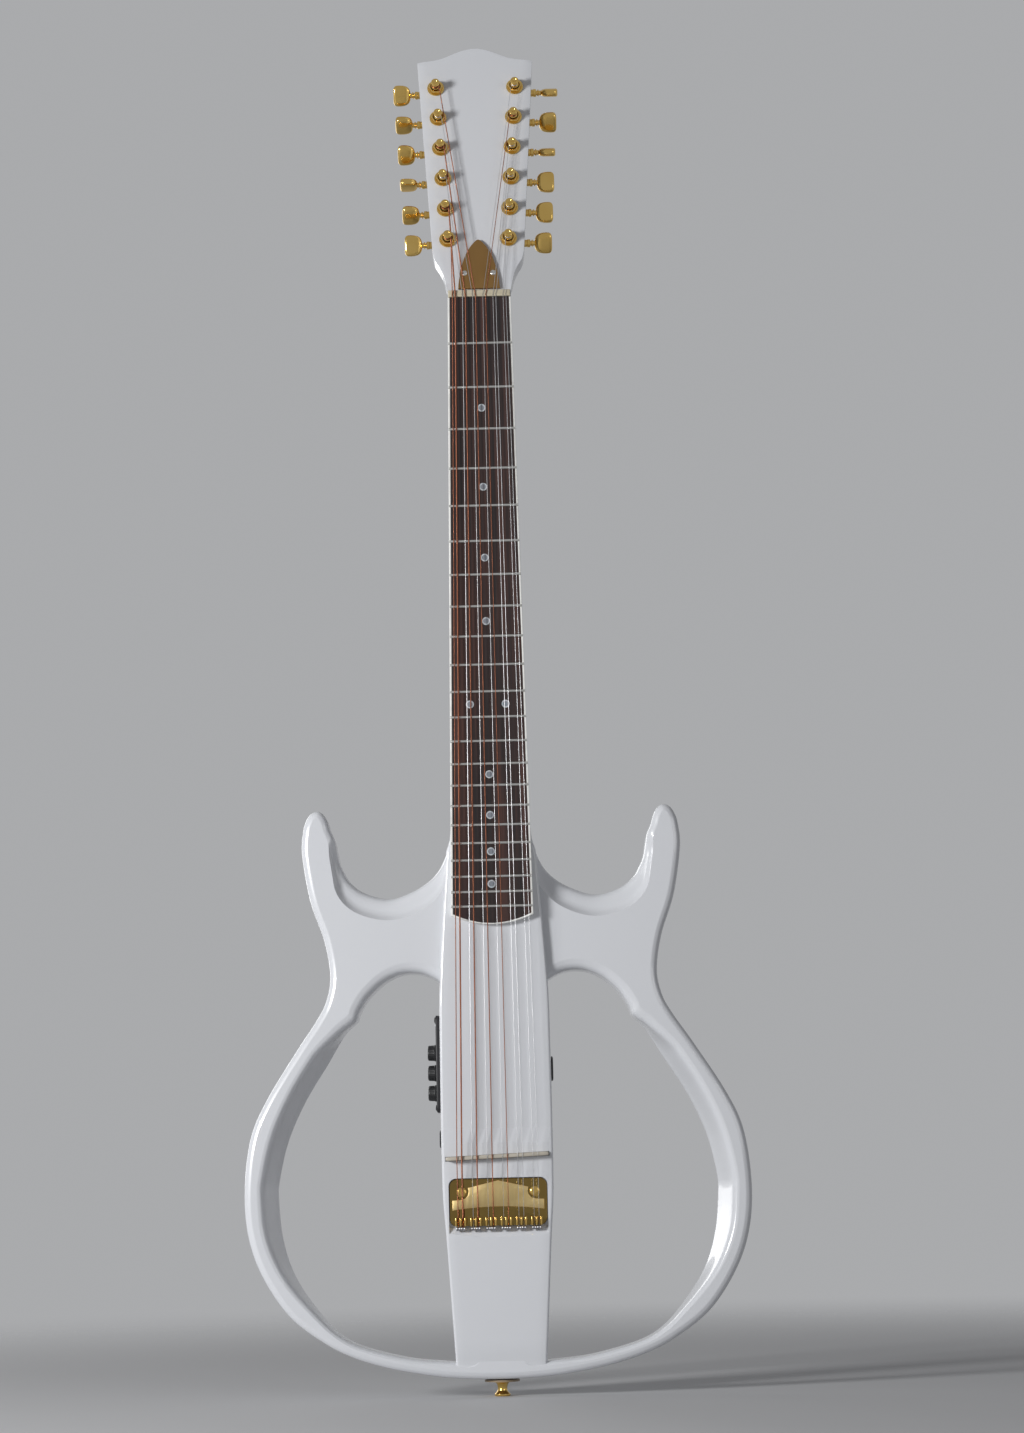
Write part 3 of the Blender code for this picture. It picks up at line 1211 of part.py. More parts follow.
def main():
    """Build every piece of the guitar."""
    clear_scene()
    lacquer = paint("white_lacquer", (0.82, 0.83, 0.85), 0.15)
    gold = paint("gold_plate", (0.80, 0.56, 0.18), 0.15, 1.0)
    bronze = paint("bronze_cover", (0.45, 0.27, 0.11), 0.3, 1.0)
    rosewood = paint("dark_rosewood", (0.045, 0.02, 0.016), 0.45)
    white = paint("white_binding", (0.8, 0.8, 0.78), 0.35)
    bone = paint("cream_bone", (0.80, 0.74, 0.60), 0.4)
    steel = paint("string_steel", (0.62, 0.62, 0.62), 0.25, 1.0)
    rod_steel = paint("rod_steel", (0.35, 0.35, 0.36), 0.4, 1.0)
    black = paint("black_panel", (0.015, 0.015, 0.017), 0.5)
    knob_black = paint("black_knob", (0.012, 0.012, 0.013), 0.35)
    battery_metal = paint("battery_case", (0.12, 0.12, 0.13), 0.4)
    felt = paint("tan_felt", (0.45, 0.36, 0.25), 0.95)
    build_centre_block(lacquer)
    build_wing("bass_wing", -1, lacquer)
    build_wing("treble_wing", 1, lacquer)
    build_neck(lacquer)
    build_truss_rod(rod_steel)
    build_fretboard(rosewood, white)
    build_nut(bone)
    build_rod_cover(bronze)
    build_saddle(bone, rod_steel)
    build_tailpiece(gold)
    build_strings(steel)
    build_tuners(gold)
    build_preamp(black, knob_black)
    build_sockets(black)
    build_battery(black, battery_metal)
    build_strap_button(gold, felt)


main()
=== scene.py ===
"""Dress the silent guitar: fine shapes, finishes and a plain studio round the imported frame.

Lengths are in metres, in the frame's own axes: +Z up the neck, -Y the way the strings face
and +X towards the treble side. A class whose docstring says mm holds millimetres.
"""
import logging
import math
from dataclasses import dataclass
from enum import Enum
from typing import Any, Iterable, NamedTuple, Sequence

import bmesh
import bpy
from mathutils import Matrix, Vector


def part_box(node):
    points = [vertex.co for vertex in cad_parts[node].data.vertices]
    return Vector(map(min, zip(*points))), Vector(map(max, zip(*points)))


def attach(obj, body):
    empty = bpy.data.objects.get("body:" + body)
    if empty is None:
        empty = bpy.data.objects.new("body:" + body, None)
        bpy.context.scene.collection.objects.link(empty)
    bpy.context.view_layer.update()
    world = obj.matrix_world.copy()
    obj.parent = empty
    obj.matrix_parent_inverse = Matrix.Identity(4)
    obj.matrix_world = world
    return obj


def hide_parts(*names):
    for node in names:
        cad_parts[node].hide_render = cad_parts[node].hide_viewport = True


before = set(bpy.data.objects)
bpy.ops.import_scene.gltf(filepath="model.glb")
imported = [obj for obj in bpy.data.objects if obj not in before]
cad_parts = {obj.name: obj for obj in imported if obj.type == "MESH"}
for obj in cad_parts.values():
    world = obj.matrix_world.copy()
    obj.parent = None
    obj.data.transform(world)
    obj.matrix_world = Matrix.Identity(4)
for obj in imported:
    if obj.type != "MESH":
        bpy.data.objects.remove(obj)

LOG = logging.getLogger("silent_guitar")
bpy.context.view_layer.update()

Mesh = bmesh.types.BMesh
Verts = Sequence[bmesh.types.BMVert]
Material = bpy.types.Material
Ring = list[Vector]
Rows = tuple[tuple[float, float], ...]
Triple = tuple[float, float, float]

MM = 0.001
MERGE = 1e-7
TURN = 2 * math.pi
QUARTER = math.pi / 2
STILL = Matrix.Identity(4)
UPRIGHT = Matrix.Rotation(QUARTER, 4, "X")
SIDEWAYS = Matrix.Rotation(QUARTER, 4, "Y")
ROOT = "guitar"
TAIL_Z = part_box("centre_block")[0].z
NUT_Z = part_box("nut")[0].z
BOARD_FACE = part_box("fretboard_binding")[0].y
TOP_FACE = -25.0 * MM
PLATFORM_FACE = -28.5 * MM
HEAD_TILT = math.radians(10.0)
HEAD_STEP = 2.0 * MM
HEAD_FRAME = (Matrix.Translation((0.0, TOP_FACE - HEAD_STEP, NUT_Z))
              @ Matrix.Rotation(QUARTER - HEAD_TILT, 4, "X"))


class Side(Enum):
    """The two sides of the guitar, each with its sign along X."""

    BASS = -1
    TREBLE = 1

    @property
    def label(self) -> str:
        """The side's name as the nodes spell it."""
        return self.name.lower()


class Slot(Enum):
    """The record's material slots."""

    LACQUER = "white_lacquer"
    ROSEWOOD = "rosewood"
    BINDING = "white_binding"
    BONE = "bone"
    ROD_STEEL = "rod_steel"
    BRONZE = "bronze"
    STRING = "string_steel"
    GOLD = "gold"
    BLACK = "black_plastic"
    KNOB = "knob_plastic"
    BATTERY = "battery_case"
    FELT = "felt"


Posts = dict[tuple[Side, int], Matrix]


def connect(tree: bpy.types.NodeTree, socket: bpy.types.NodeSocket, value: Any) -> None:
    """Link a wire to a socket, or set the socket to a plain value.

    Args:
        tree: The node tree.
        socket: The input to feed.
        value: A wire or a plain value.
    """
    if isinstance(value, Wire):
        tree.links.new(value.socket, socket)
    else:
        socket.default_value = value


def blend(tree: bpy.types.NodeTree, factor: "Wire", first: Triple, second: Triple) -> "Wire":
    """Mix two colours of any node tree by a factor.

    Args:
        tree: The node tree.
        factor: How much of the second colour shows.
        first: The first colour.
        second: The second colour.

    Returns:
        The mixed colour.
    """
    made = tree.nodes.new("ShaderNodeMix")
    made.data_type = "RGBA"
    tree.links.new(factor.socket, made.inputs[0])
    for socket, colour in zip(made.inputs[6:8], (first, second)):
        socket.default_value = (*colour, 1.0)
    return Wire(tree, made.outputs[2])


class Grain(NamedTuple):
    """A noise pattern on object coordinates."""

    scale: float
    detail: float = 3.0
    stretch: Triple = (1.0, 1.0, 1.0)
    distortion: float = 0.0


class Wire:
    """A shader socket that takes part in sums with numbers and other sockets."""

    def __init__(self, tree: bpy.types.NodeTree, socket: bpy.types.NodeSocket) -> None:
        """Wrap one output socket of a node tree."""
        self.tree = tree
        self.socket = socket

    def _math(self, operation: str, first: Any, second: Any) -> "Wire":
        """Add one Math node.

        Args:
            operation: The node's operation.
            first: Its first value or wire.
            second: Its second value or wire.

        Returns:
            The node's result as a wire.
        """
        node = self.tree.nodes.new("ShaderNodeMath")
        node.operation = operation
        for socket, value in zip(node.inputs, (first, second)):
            connect(self.tree, socket, value)
        return Wire(self.tree, node.outputs[0])

    def __add__(self, other: Any) -> "Wire":
        """Sum."""
        return self._math("ADD", self, other)

    def __radd__(self, other: Any) -> "Wire":
        """Sum with a number on the left."""
        return self._math("ADD", other, self)

    def __mul__(self, other: Any) -> "Wire":
        """Product."""
        return self._math("MULTIPLY", self, other)

    def __rmul__(self, other: Any) -> "Wire":
        """Product with a number on the left."""
        return self._math("MULTIPLY", other, self)

    def sine(self) -> "Wire":
        """The sine of the wire's value."""
        return self._math("SINE", self, 0.0)


class Shader:
    """One material and the nodes that feed its Principled shader."""

    def __init__(self, name: str, **fixed: Any) -> None:
        """Start a material.

        Args:
            name: The material's name.
            **fixed: Values set on the shader's own sockets, spaces written as underscores.
        """
        self.material = bpy.data.materials.new(name)
        self.material.use_nodes = True
        self.tree = self.material.node_tree
        self.surface = self.tree.nodes["Principled BSDF"]
        for label, value in fixed.items():
            self.surface.inputs[label.replace("_", " ")].default_value = value

    def node(self, kind: str, settings: dict[str, Any] | None = None, **sockets: Any) -> Any:
        """Add a node of any kind.

        Args:
            kind: The node's type.
            settings: Attributes that are set before its sockets.
            **sockets: Values or wires for its inputs, by name with underscores for spaces.

        Returns:
            The new node.
        """
        made = self.tree.nodes.new(kind)
        for label, value in (settings or {}).items():
            setattr(made, label, value)
        for label, value in sockets.items():
            connect(self.tree, made.inputs[label.replace("_", " ")], value)
        return made

    def place(self, stretch: Triple = (1.0, 1.0, 1.0)) -> Wire:
        """Object coordinates, stretched along each axis.

        Args:
            stretch: The stretch along X, Y and Z.

        Returns:
            The coordinates.
        """
        coords = self.tree.nodes.new("ShaderNodeTexCoord")
        mapping = self.node("ShaderNodeMapping", Scale=stretch,
                            Vector=Wire(self.tree, coords.outputs["Object"]))
        return Wire(self.tree, mapping.outputs["Vector"])

    def noise(self, grain: Grain) -> Wire:
        """Soft noise from 0 to 1.

        Args:
            grain: The pattern's scale, detail, stretch and distortion.

        Returns:
            The pattern's value.
        """
        made = self.node("ShaderNodeTexNoise", Scale=grain.scale, Detail=grain.detail,
                         Distortion=grain.distortion, Vector=self.place(grain.stretch))
        return Wire(self.tree, made.outputs[0])

    def ramp(self, factor: Wire, stops: Sequence[tuple[float, Sequence[float]]]) -> Wire:
        """Colours along a factor.

        Args:
            factor: Where to read the colours.
            stops: Pairs of position and linear colour.

        Returns:
            The colour as a wire.
        """
        made = self.node("ShaderNodeValToRGB", Fac=factor)
        elements = made.color_ramp.elements
        while len(elements) < len(stops):
            elements.new(0.5)
        for element, (position, colour) in zip(elements, stops):
            element.position = position
            element.color = (*colour, 1.0)
        return Wire(self.tree, made.outputs["Color"])

    def mix(self, factor: Wire, first: Triple, second: Triple) -> Wire:
        """Blend two colours by a factor."""
        return blend(self.tree, factor, first, second)

    def feed(self, label: str, wire: Wire) -> None:
        """Drive one of the shader's sockets."""
        self.tree.links.new(wire.socket, self.surface.inputs[label])

    def bump(self, height: Wire, depth: float, strength: float = 1.0) -> None:
        """Raise the surface by a height pattern, depth metres tall."""
        made = self.node("ShaderNodeBump", Strength=strength, Distance=depth, Height=height)
        self.tree.links.new(made.outputs[0], self.surface.inputs["Normal"])


@dataclass(frozen=True)
class Finish:
    """Two tones, a roughness and a relief, each led by a grain.

    The roughness is a base and its spread, the relief a depth in metres and a strength, and the
    pitch is that of windings along Z, 0 where there are none.
    """

    name: str
    colour: Triple
    shade: Triple
    tone: Grain
    rough: tuple[float, float]
    streaks: Grain
    relief: tuple[float, float] | None = None
    pores: Grain | None = None
    pitch: float = 0.0
    sockets: tuple[tuple[str, float], ...] = ()

    def make(self) -> Material:
        """Build the material.

        Returns:
            The material.
        """
        shader = Shader(self.name, **dict(self.sockets))
        shader.feed("Base Color", shader.mix(shader.noise(self.tone), self.shade, self.colour))
        streaks = shader.noise(self.streaks)
        shader.feed("Roughness", self.rough[0] + self.rough[1] * streaks)
        if self.pitch:
            split = shader.node("ShaderNodeSeparateXYZ", Vector=shader.place())
            turns = (Wire(shader.tree, split.outputs["Z"]) * (TURN / self.pitch)).sine()
            shader.bump(turns, *self.relief)
        elif self.relief:
            shader.bump(shader.noise(self.pores) if self.pores else streaks, *self.relief)
        return shader.material


METAL = (("Metallic", 1.0),)


def plating(name: str, colour: Triple, shade: Triple, roughness: float = 0.12,
            scratch: float = 6.0, across: float = 1.0) -> Material:
    """Polished or brushed metal plating with fine scratches along Z or X.

    Args:
        name: The material's name.
        colour: Its lighter tone.
        shade: Its darker tone.
        roughness: Its least roughness.
        scratch: How closely the scratches lie along Z.
        across: How closely they lie along X.

    Returns:
        The material.
    """
    lines = Grain(420.0, 2.0, (across, 1.0, scratch))
    return Finish(name, colour, shade, Grain(60.0), (roughness, 0.14), lines, (0.00001, 0.3),
                  sockets=METAL).make()


def moulded(name: str, colour: Triple, roughness: float, grain: float = 1800.0) -> Material:
    """Satin moulded plastic with a fine grain and paler wear.

    Args:
        name: The material's name.
        colour: Its colour where it isn't worn.
        roughness: Its least roughness.
        grain: The grain's scale.

    Returns:
        The material.
    """
    worn = tuple(part * 1.5 + 0.004 for part in colour)
    return Finish(name, worn, colour, Grain(120.0), (roughness, 0.12), Grain(240.0, 2.0),
                  (0.00003, 0.4), Grain(grain, 1.0), sockets=(("Specular_IOR_Level", 0.5),)).make()


def bone(name: str, light: Triple, dark: Triple) -> Material:
    """Bone with faint streaks."""
    return Finish(name, light, dark, Grain(320.0, 3.0, (0.25, 1.0, 1.0)), (0.28, 0.2),
                  Grain(500.0, 2.0)).make()


def string_metal(name: str, colour: Triple, shade: Triple, pitch: float = 0.0) -> Material:
    """String metal, with fine windings where it is wound."""
    return Finish(name, colour, shade, Grain(90.0, 2.0), (0.26, 0.12), Grain(300.0, 2.0),
                  (0.00005, 0.7) if pitch else None, pitch=pitch, sockets=METAL).make()


def pearl(name: str, base: Triple) -> Material:
    """Mother of pearl with soft clouds of colour.

    Args:
        name: The material's name.
        base: Its middle colour.

    Returns:
        The material.
    """
    shader = Shader(name, Coat_Weight=0.5)
    cloud = shader.noise(Grain(700.0, 2.0, distortion=1.5))
    r, g, b = base
    shader.feed("Base Color", shader.ramp(cloud, ((0.35, (r * 0.85, g * 0.95, b)), (0.5, base),
                                                  (0.65, (r, g * 0.92, b * 0.95)))))
    shader.feed("Roughness", 0.15 + 0.15 * cloud)
    return shader.material


@dataclass(frozen=True)
class Rosewood:
    """Dark rosewood with long streaks and open pores along Z."""

    dark: Triple = (0.010, 0.006, 0.006)
    middle: Triple = (0.028, 0.012, 0.010)
    red: Triple = (0.075, 0.028, 0.019)

    def make(self) -> Material:
        """Build the material.

        Returns:
            The material.
        """
        shader = Shader("streaked_rosewood", Coat_Weight=0.12, Coat_Roughness=0.3)
        streaks = shader.noise(Grain(170.0, 4.0, (1.0, 1.0, 0.03), 0.6))
        fine = shader.noise(Grain(900.0, 2.0, (1.0, 1.0, 0.02)))
        pores = shader.noise(Grain(1500.0, 1.0, (1.0, 1.0, 0.05)))
        stops = ((0.36, self.dark), (0.5, self.middle), (0.66, self.red))
        shader.feed("Base Color", shader.ramp(0.7 * streaks + 0.3 * fine, stops))
        shader.feed("Roughness", 0.34 + 0.22 * pores)
        shader.bump(pores, 0.00006, 0.5)
        return shader.material


@dataclass(frozen=True)
class Lamp:
    """A small light that glows through its lens."""

    colour: Triple = (0.75, 0.8, 0.85)
    glint: Triple = (0.85, 0.88, 0.9)

    def make(self) -> Material:
        """Build the material.

        Returns:
            The material.
        """
        shader = Shader("status_lens", Roughness=0.2, Coat_Weight=0.4, Emission_Strength=0.35)
        glow = shader.mix(shader.noise(Grain(900.0, 1.0)), self.colour, self.glint)
        for label in ("Base Color", "Emission Color"):
            shader.feed(label, glow)
        return shader.material


@dataclass(frozen=True)
class Floor:
    """Matt pale paper that fades away into the sky round it."""

    colour: Triple = (0.62, 0.625, 0.635)
    lift: float = 1.04
    solid: float = 0.5
    gone: float = 2.2

    def make(self) -> Material:
        """Build the material.

        Returns:
            The material.
        """
        shader = Shader("pale_paper", Specular_IOR_Level=0.1)
        paler = tuple(part * self.lift for part in self.colour)
        shader.feed("Base Color", shader.mix(shader.noise(Grain(1.2, 2.0)), self.colour, paler))
        shader.feed("Roughness", 0.8 + 0.1 * shader.noise(Grain(30.0, 2.0)))
        reach = shader.node("ShaderNodeVectorMath", {"operation": "LENGTH"}, Vector=shader.place())
        fade = shader.node("ShaderNodeMapRange", {"interpolation_type": "SMOOTHSTEP"},
                           Value=Wire(shader.tree, reach.outputs["Value"]), From_Min=self.solid,
                           From_Max=self.gone, To_Min=1.0, To_Max=0.0)
        shader.feed("Alpha", Wire(shader.tree, fade.outputs["Result"]))
        return shader.material


class Palette:
    """Every finish that the guitar's pieces share."""

    def __init__(self) -> None:
        """Make all the finishes."""
        coat = (("Coat_Weight", 0.6), ("Coat_Roughness", 0.04))
        nap = (("Sheen_Weight", 0.5), ("Sheen_Roughness", 0.5))
        fibres = Grain(1600.0, 4.0, distortion=2.0)
        self.lacquer = Finish("white_lacquer", (0.74, 0.755, 0.785), (0.70, 0.715, 0.75), Grain(6.0, 2.0),
                              (0.16, 0.12), Grain(14.0, 4.0), (0.00002, 0.35), Grain(260.0, 1.0),
                              sockets=coat).make()
        self.rosewood = Rosewood().make()
        self.nickel = plating("fret_nickel", (0.80, 0.79, 0.75), (0.66, 0.65, 0.62), 0.16, 1.0, 6.0)
        self.binding = moulded("ivory_binding", (0.74, 0.74, 0.71), 0.3)
        self.bone = bone("cream_bone", (0.72, 0.66, 0.50), (0.52, 0.45, 0.32))
        self.worn_bone = bone("worn_bone", (0.62, 0.58, 0.50), (0.42, 0.38, 0.31))
        self.pearl = pearl("pearl", (0.62, 0.66, 0.68))
        self.pearl_eye = pearl("pearl_eye", (0.26, 0.28, 0.31))
        self.gold = plating("gold_plate", (0.86, 0.60, 0.20), (0.72, 0.46, 0.12), 0.1)
        # The tailpiece plate's gold is painted darker than gold plating is: painted dark reflections of the
        # room on its mirror polish.
        self.mirror_gold = plating("mirror_gold", (0.34, 0.23, 0.07), (0.26, 0.17, 0.05), 0.04)
        self.satin_gold = plating("satin_gold", (0.88, 0.68, 0.33), (0.76, 0.56, 0.24), 0.3, 8.0)
        self.bronze = plating("bronze_cover", (0.46, 0.27, 0.10), (0.36, 0.20, 0.07), 0.26, 12.0)
        self.wound = string_metal("copper_windings", (0.38, 0.15, 0.085), (0.26, 0.10, 0.06), 0.0006)
        self.plain = string_metal("string_steel", (0.70, 0.70, 0.71), (0.58, 0.58, 0.60))
        self.rod_steel = plating("rod_steel", (0.40, 0.40, 0.42), (0.30, 0.30, 0.32), 0.3)
        self.black = moulded("black_plastic", (0.012, 0.012, 0.014), 0.38)
        self.knob = moulded("knob_plastic", (0.010, 0.010, 0.011), 0.28, 1200.0)
        self.marks = moulded("white_marks", (0.62, 0.62, 0.62), 0.5)
        self.lens = Lamp().make()
        self.battery = moulded("battery_case", (0.10, 0.10, 0.11), 0.35)
        self.felt = Finish("tan_felt", (0.42, 0.32, 0.21), (0.28, 0.20, 0.12), fibres, (0.85, 0.1), fibres,
                           (0.0003, 0.8), sockets=nap).make()


def mm(*values: float) -> Vector:
    """A vector given in millimetres, in metres."""
    return Vector(values) * MM


def polar(radius: float, angle: float, height: float = 0.0) -> Vector:
    """The point at an angle on a level circle."""
    return Vector((radius * math.cos(angle), radius * math.sin(angle), height))


def spread(total: float, count: int) -> list[float]:
    """Even steps from 0 to a total, both included."""
    return [total * i / count for i in range(count + 1)]


def ease(value: float, start: float, end: float) -> float:
    """0 at start, 1 at end, with a soft step between."""
    t = min(1.0, max(0.0, (value - start) / (end - start)))
    return t * t * (3 - 2 * t)


def flowing(points: Sequence[Vector], closed: bool = False, spacing: float | None = None,
            steps: int = 1) -> list[Vector]:
    """Points along a smooth curve through the given ones.

    Args:
        points: The points that the curve passes.
        closed: Whether it returns to its first point.
        spacing: The distance between the new points, or none for a set count.
        steps: How many new points each span gets where no spacing is given.

    Returns:
        The curve's points in order.
    """
    count = len(points)
    result = []
    for i in range(count if closed else count - 1):
        b, c = points[i], points[(i + 1) % count]
        a = points[i - 1] if closed or i else 2 * b - c
        d = points[(i + 2) % count] if closed or i + 2 < count else 2 * c - b
        parts = steps if spacing is None else max(1, round((c - b).length / spacing))
        for part in range(parts):
            t = part / parts
            result.append(0.5 * (2 * b + (c - a) * t + (2 * a - 5 * b + 4 * c - d) * t ** 2
                                 + (3 * b - a - 3 * c + d) * t ** 3))
    if not closed:
        result.append(points[-1].copy())
    return result


def reading(table: Rows, value: float) -> float:
    """Read a table of (place, size) rows on a smooth curve through them.

    Args:
        table: The rows, their places rising.
        value: The place to read.

    Returns:
        The size there, or the nearest end's size outside the table.
    """
    rows = [Vector((place, size)) for place, size in table]
    if value <= rows[0].x:
        return rows[0].y
    for i, (low, high) in enumerate(zip(rows, rows[1:])):
        if value <= high.x:
            t = (value - low.x) / (high.x - low.x)
            before = rows[i - 1] if i else 2 * low - high
            after = rows[i + 2] if i + 2 < len(rows) else 2 * high - low
            rise = (high.y - before.y) / (high.x - before.x) * (high.x - low.x)
            fall = (after.y - low.y) / (after.x - low.x) * (high.x - low.x)
            return ((2 * t ** 3 - 3 * t ** 2 + 1) * low.y + (t ** 3 - 2 * t ** 2 + t) * rise
                    + (3 * t ** 2 - 2 * t ** 3) * high.y + (t ** 3 - t ** 2) * fall)
    return rows[-1].y


def fresh_verts(made: dict[str, Any]) -> list[bmesh.types.BMVert]:
    """The vertices that an extrusion has made."""
    return [part for part in made["geom"] if isinstance(part, bmesh.types.BMVert)]


def skin(bm: Mesh, rings: Sequence[Ring], closed: bool = True) -> list[Verts]:
    """Extrude one ring of points through all the others.

    Args:
        bm: The mesh that grows.
        rings: Rings with the same number of points each.
        closed: Whether each ring returns to its first point.

    Returns:
        The first and the last loop of vertices.
    """
    first = [bm.verts.new(point) for point in rings[0]]
    pairs = list(zip(first, first[1:] + first[:1] if closed else first[1:]))
    edges = [bm.edges.new(pair) for pair in pairs]
    loop = first
    for ring in rings[1:]:
        fresh = set(fresh_verts(bmesh.ops.extrude_edge_only(bm, edges=edges)))
        loop = [next(edge.other_vert(vert) for edge in vert.link_edges if edge.other_vert(vert) in fresh)
                for vert in loop]
        for vert, point in zip(loop, ring):
            vert.co = point
        edges = loop_edges(loop, closed)
    return [first, loop]


def loop_edges(loop: Verts, closed: bool = True) -> list[bmesh.types.BMEdge]:
    """The edges between the neighbours of a loop of vertices."""
    after = list(loop[1:]) + (list(loop[:1]) if closed else [])
    return [edge for a, b in zip(loop, after) for edge in a.link_edges if edge.other_vert(a) is b]


def cap(bm: Mesh, loop: Verts) -> None:
    """Close a flat loop with one face."""
    bmesh.ops.contextual_create(bm, geom=loop_edges(loop))


def capped(rings: Sequence[Ring]) -> Mesh:
    """A closed shape through rings, with a face at each end.

    Args:
        rings: Rings with the same number of points each.

    Returns:
        The shape.
    """
    made = bmesh.new()
    for end in skin(made, rings):
        cap(made, end)
    bmesh.ops.recalc_face_normals(made, faces=made.faces)
    return made


def rounded(bm: Mesh, edges: Sequence[bmesh.types.BMEdge], width: float, segments: int = 3,
            clamp: bool = False) -> None:
    """Round some edges of a shape.

    Args:
        bm: The shape.
        edges: The edges to round.
        width: How far the rounding reaches.
        segments: How many faces it has across.
        clamp: Whether it stops where it would meet another rounding.
    """
    bmesh.ops.bevel(bm, geom=edges, offset=width, segments=segments, profile=0.5, affect="EDGES",
                    material=-1, clamp_overlap=clamp)


def turned(bm: Mesh, profile: Iterable[tuple[float, float]], frame_: Matrix = STILL,
           sides: int = 32, joined: bool = False, unit: float = 1.0) -> None:
    """Spin a profile of (radius, height) points about the frame's Z.

    Args:
        bm: The mesh that grows.
        profile: The points, from one pole or rim to the other.
        frame_: Where the shape goes.
        sides: How many steps a full turn has.
        joined: Whether the profile returns to its first point, as a ring's does.
        unit: The profile's unit of length.
    """
    made = bmesh.new()
    verts = [made.verts.new((radius * unit, 0.0, height * unit)) for radius, height in profile]
    pairs = list(zip(verts, verts[1:])) + ([(verts[-1], verts[0])] if joined else [])
    edges = [made.edges.new(pair) for pair in pairs]
    bmesh.ops.spin(made, geom=verts + edges, cent=(0, 0, 0), axis=(0, 0, 1), angle=TURN,
                   steps=sides, use_merge=True)
    bmesh.ops.remove_doubles(made, verts=made.verts, dist=MERGE)
    rims = [edge for edge in made.edges if edge.is_boundary]
    bmesh.ops.holes_fill(made, edges=rims, sides=0)
    add_to(bm, made, frame_)


def rod(radius: float, low: float, high: float, frame_: Matrix = STILL, sides: int = 32) -> Mesh:
    """A new closed cylinder between two heights of a frame.

    Args:
        radius: The cylinder's radius.
        low: The height of its foot.
        high: The height of its top.
        frame_: The frame that it is in.
        sides: How many sides it has.

    Returns:
        The cylinder.
    """
    made = bmesh.new()
    turned(made, ((0, low), (radius, low), (radius, high), (0, high)), frame_, sides)
    return made


def as_mesh(name: str, bm: Mesh) -> bpy.types.Mesh:
    """Turn a shape into mesh data, which uses it up.

    Args:
        name: The data's name.
        bm: The shape.

    Returns:
        The data.
    """
    mesh = bpy.data.meshes.new(name)
    bm.to_mesh(mesh)
    bm.free()
    return mesh


def linked(name: str, data: Any) -> bpy.types.Object:
    """A new object in the scene.

    Args:
        name: The object's name.
        data: What the object holds.

    Returns:
        The object.
    """
    item = bpy.data.objects.new(name, data)
    bpy.context.scene.collection.objects.link(item)
    return item


def add_to(bm: Mesh, made: Mesh, frame_: Matrix = STILL) -> None:
    """Move a finished shape into place and into another mesh, which uses it up.

    Args:
        bm: The mesh that grows.
        made: The shape to add.
        frame_: The frame that it is in.
    """
    bmesh.ops.recalc_face_normals(made, faces=made.faces)
    bmesh.ops.transform(made, matrix=frame_, verts=made.verts)
    mesh = as_mesh("part", made)
    bm.from_mesh(mesh)
    bpy.data.meshes.remove(mesh)


def block(bm: Mesh, low: Sequence[float], high: Sequence[float], frame_: Matrix = STILL,
          edge: float = 0.0, segments: int = 3) -> None:
    """Add a box with rounded edges.

    Args:
        bm: The mesh that grows.
        low: The box's low corner.
        high: Its high corner.
        frame_: The frame that the corners are in.
        edge: How far its edges are rounded.
        segments: How many faces a rounding has across.
    """
    low, high = Vector(low), Vector(high)
    made = bmesh.new()
    shape = Matrix.Translation((low + high) / 2) @ Matrix.Diagonal((*(high - low), 1.0))
    bmesh.ops.create_cube(made, size=1.0, matrix=shape)
    if edge:
        rounded(made, made.edges[:], edge, segments)
    add_to(bm, made, frame_)


def box(low: Sequence[float], high: Sequence[float], frame_: Matrix = STILL, edge: float = 0.0,
        segments: int = 3) -> Mesh:
    """A new shape that holds one block.

    Args:
        low: The box's low corner.
        high: Its high corner.
        frame_: The frame that it is in.
        edge: How far its edges are rounded.
        segments: How many faces a rounding has across.

    Returns:
        The box.
    """
    made = bmesh.new()
    block(made, low, high, frame_, edge, segments)
    return made


def slab(bm: Mesh, outline: Sequence[Sequence[float]], low: float, high: float,
         frame_: Matrix = STILL, edge: float = 0.0, segments: int = 3) -> None:
    """Extrude a flat outline from one height to another and round its rims.

    Args:
        bm: The mesh that grows.
        outline: The outline's (x, y) points.
        low: The height of its foot.
        high: The height of its face.
        frame_: The frame that the outline is in.
        edge: How far its rims are rounded.
        segments: How many faces a rounding has across.
    """
    made = bmesh.new()
    skin(made, [[Vector((x, y, low)) for x, y in outline]])
    cap(made, made.verts[:])
    top = fresh_verts(bmesh.ops.extrude_face_region(made, geom=made.faces[:], use_keep_orig=True))
    bmesh.ops.translate(made, verts=top, vec=(0, 0, high - low))
    if edge:
        level = [e for e in made.edges if abs(e.verts[0].co.z - e.verts[1].co.z) < MERGE]
        rounded(made, level, edge, segments)
    add_to(bm, made, frame_)


def tube(bm: Mesh, points: Sequence[Vector], radius: float, sides: int = 8) -> None:
    """Add a round tube, closed at both ends.

    Args:
        bm: The mesh that grows.
        points: The run of the tube's middle.
        radius: Its radius.
        sides: How many sides it has.
    """
    rings = []
    across = (points[1] - points[0]).orthogonal()
    for i, point in enumerate(points):
        along = (points[min(i + 1, len(points) - 1)] - points[max(i - 1, 0)]).normalized()
        across = (across - along * along.dot(across)).normalized()
        over = along.cross(across)
        rings.append([point + radius * (math.cos(a) * across + math.sin(a) * over)
                      for a in spread(TURN, sides)[:-1]])
    add_to(bm, capped(rings))


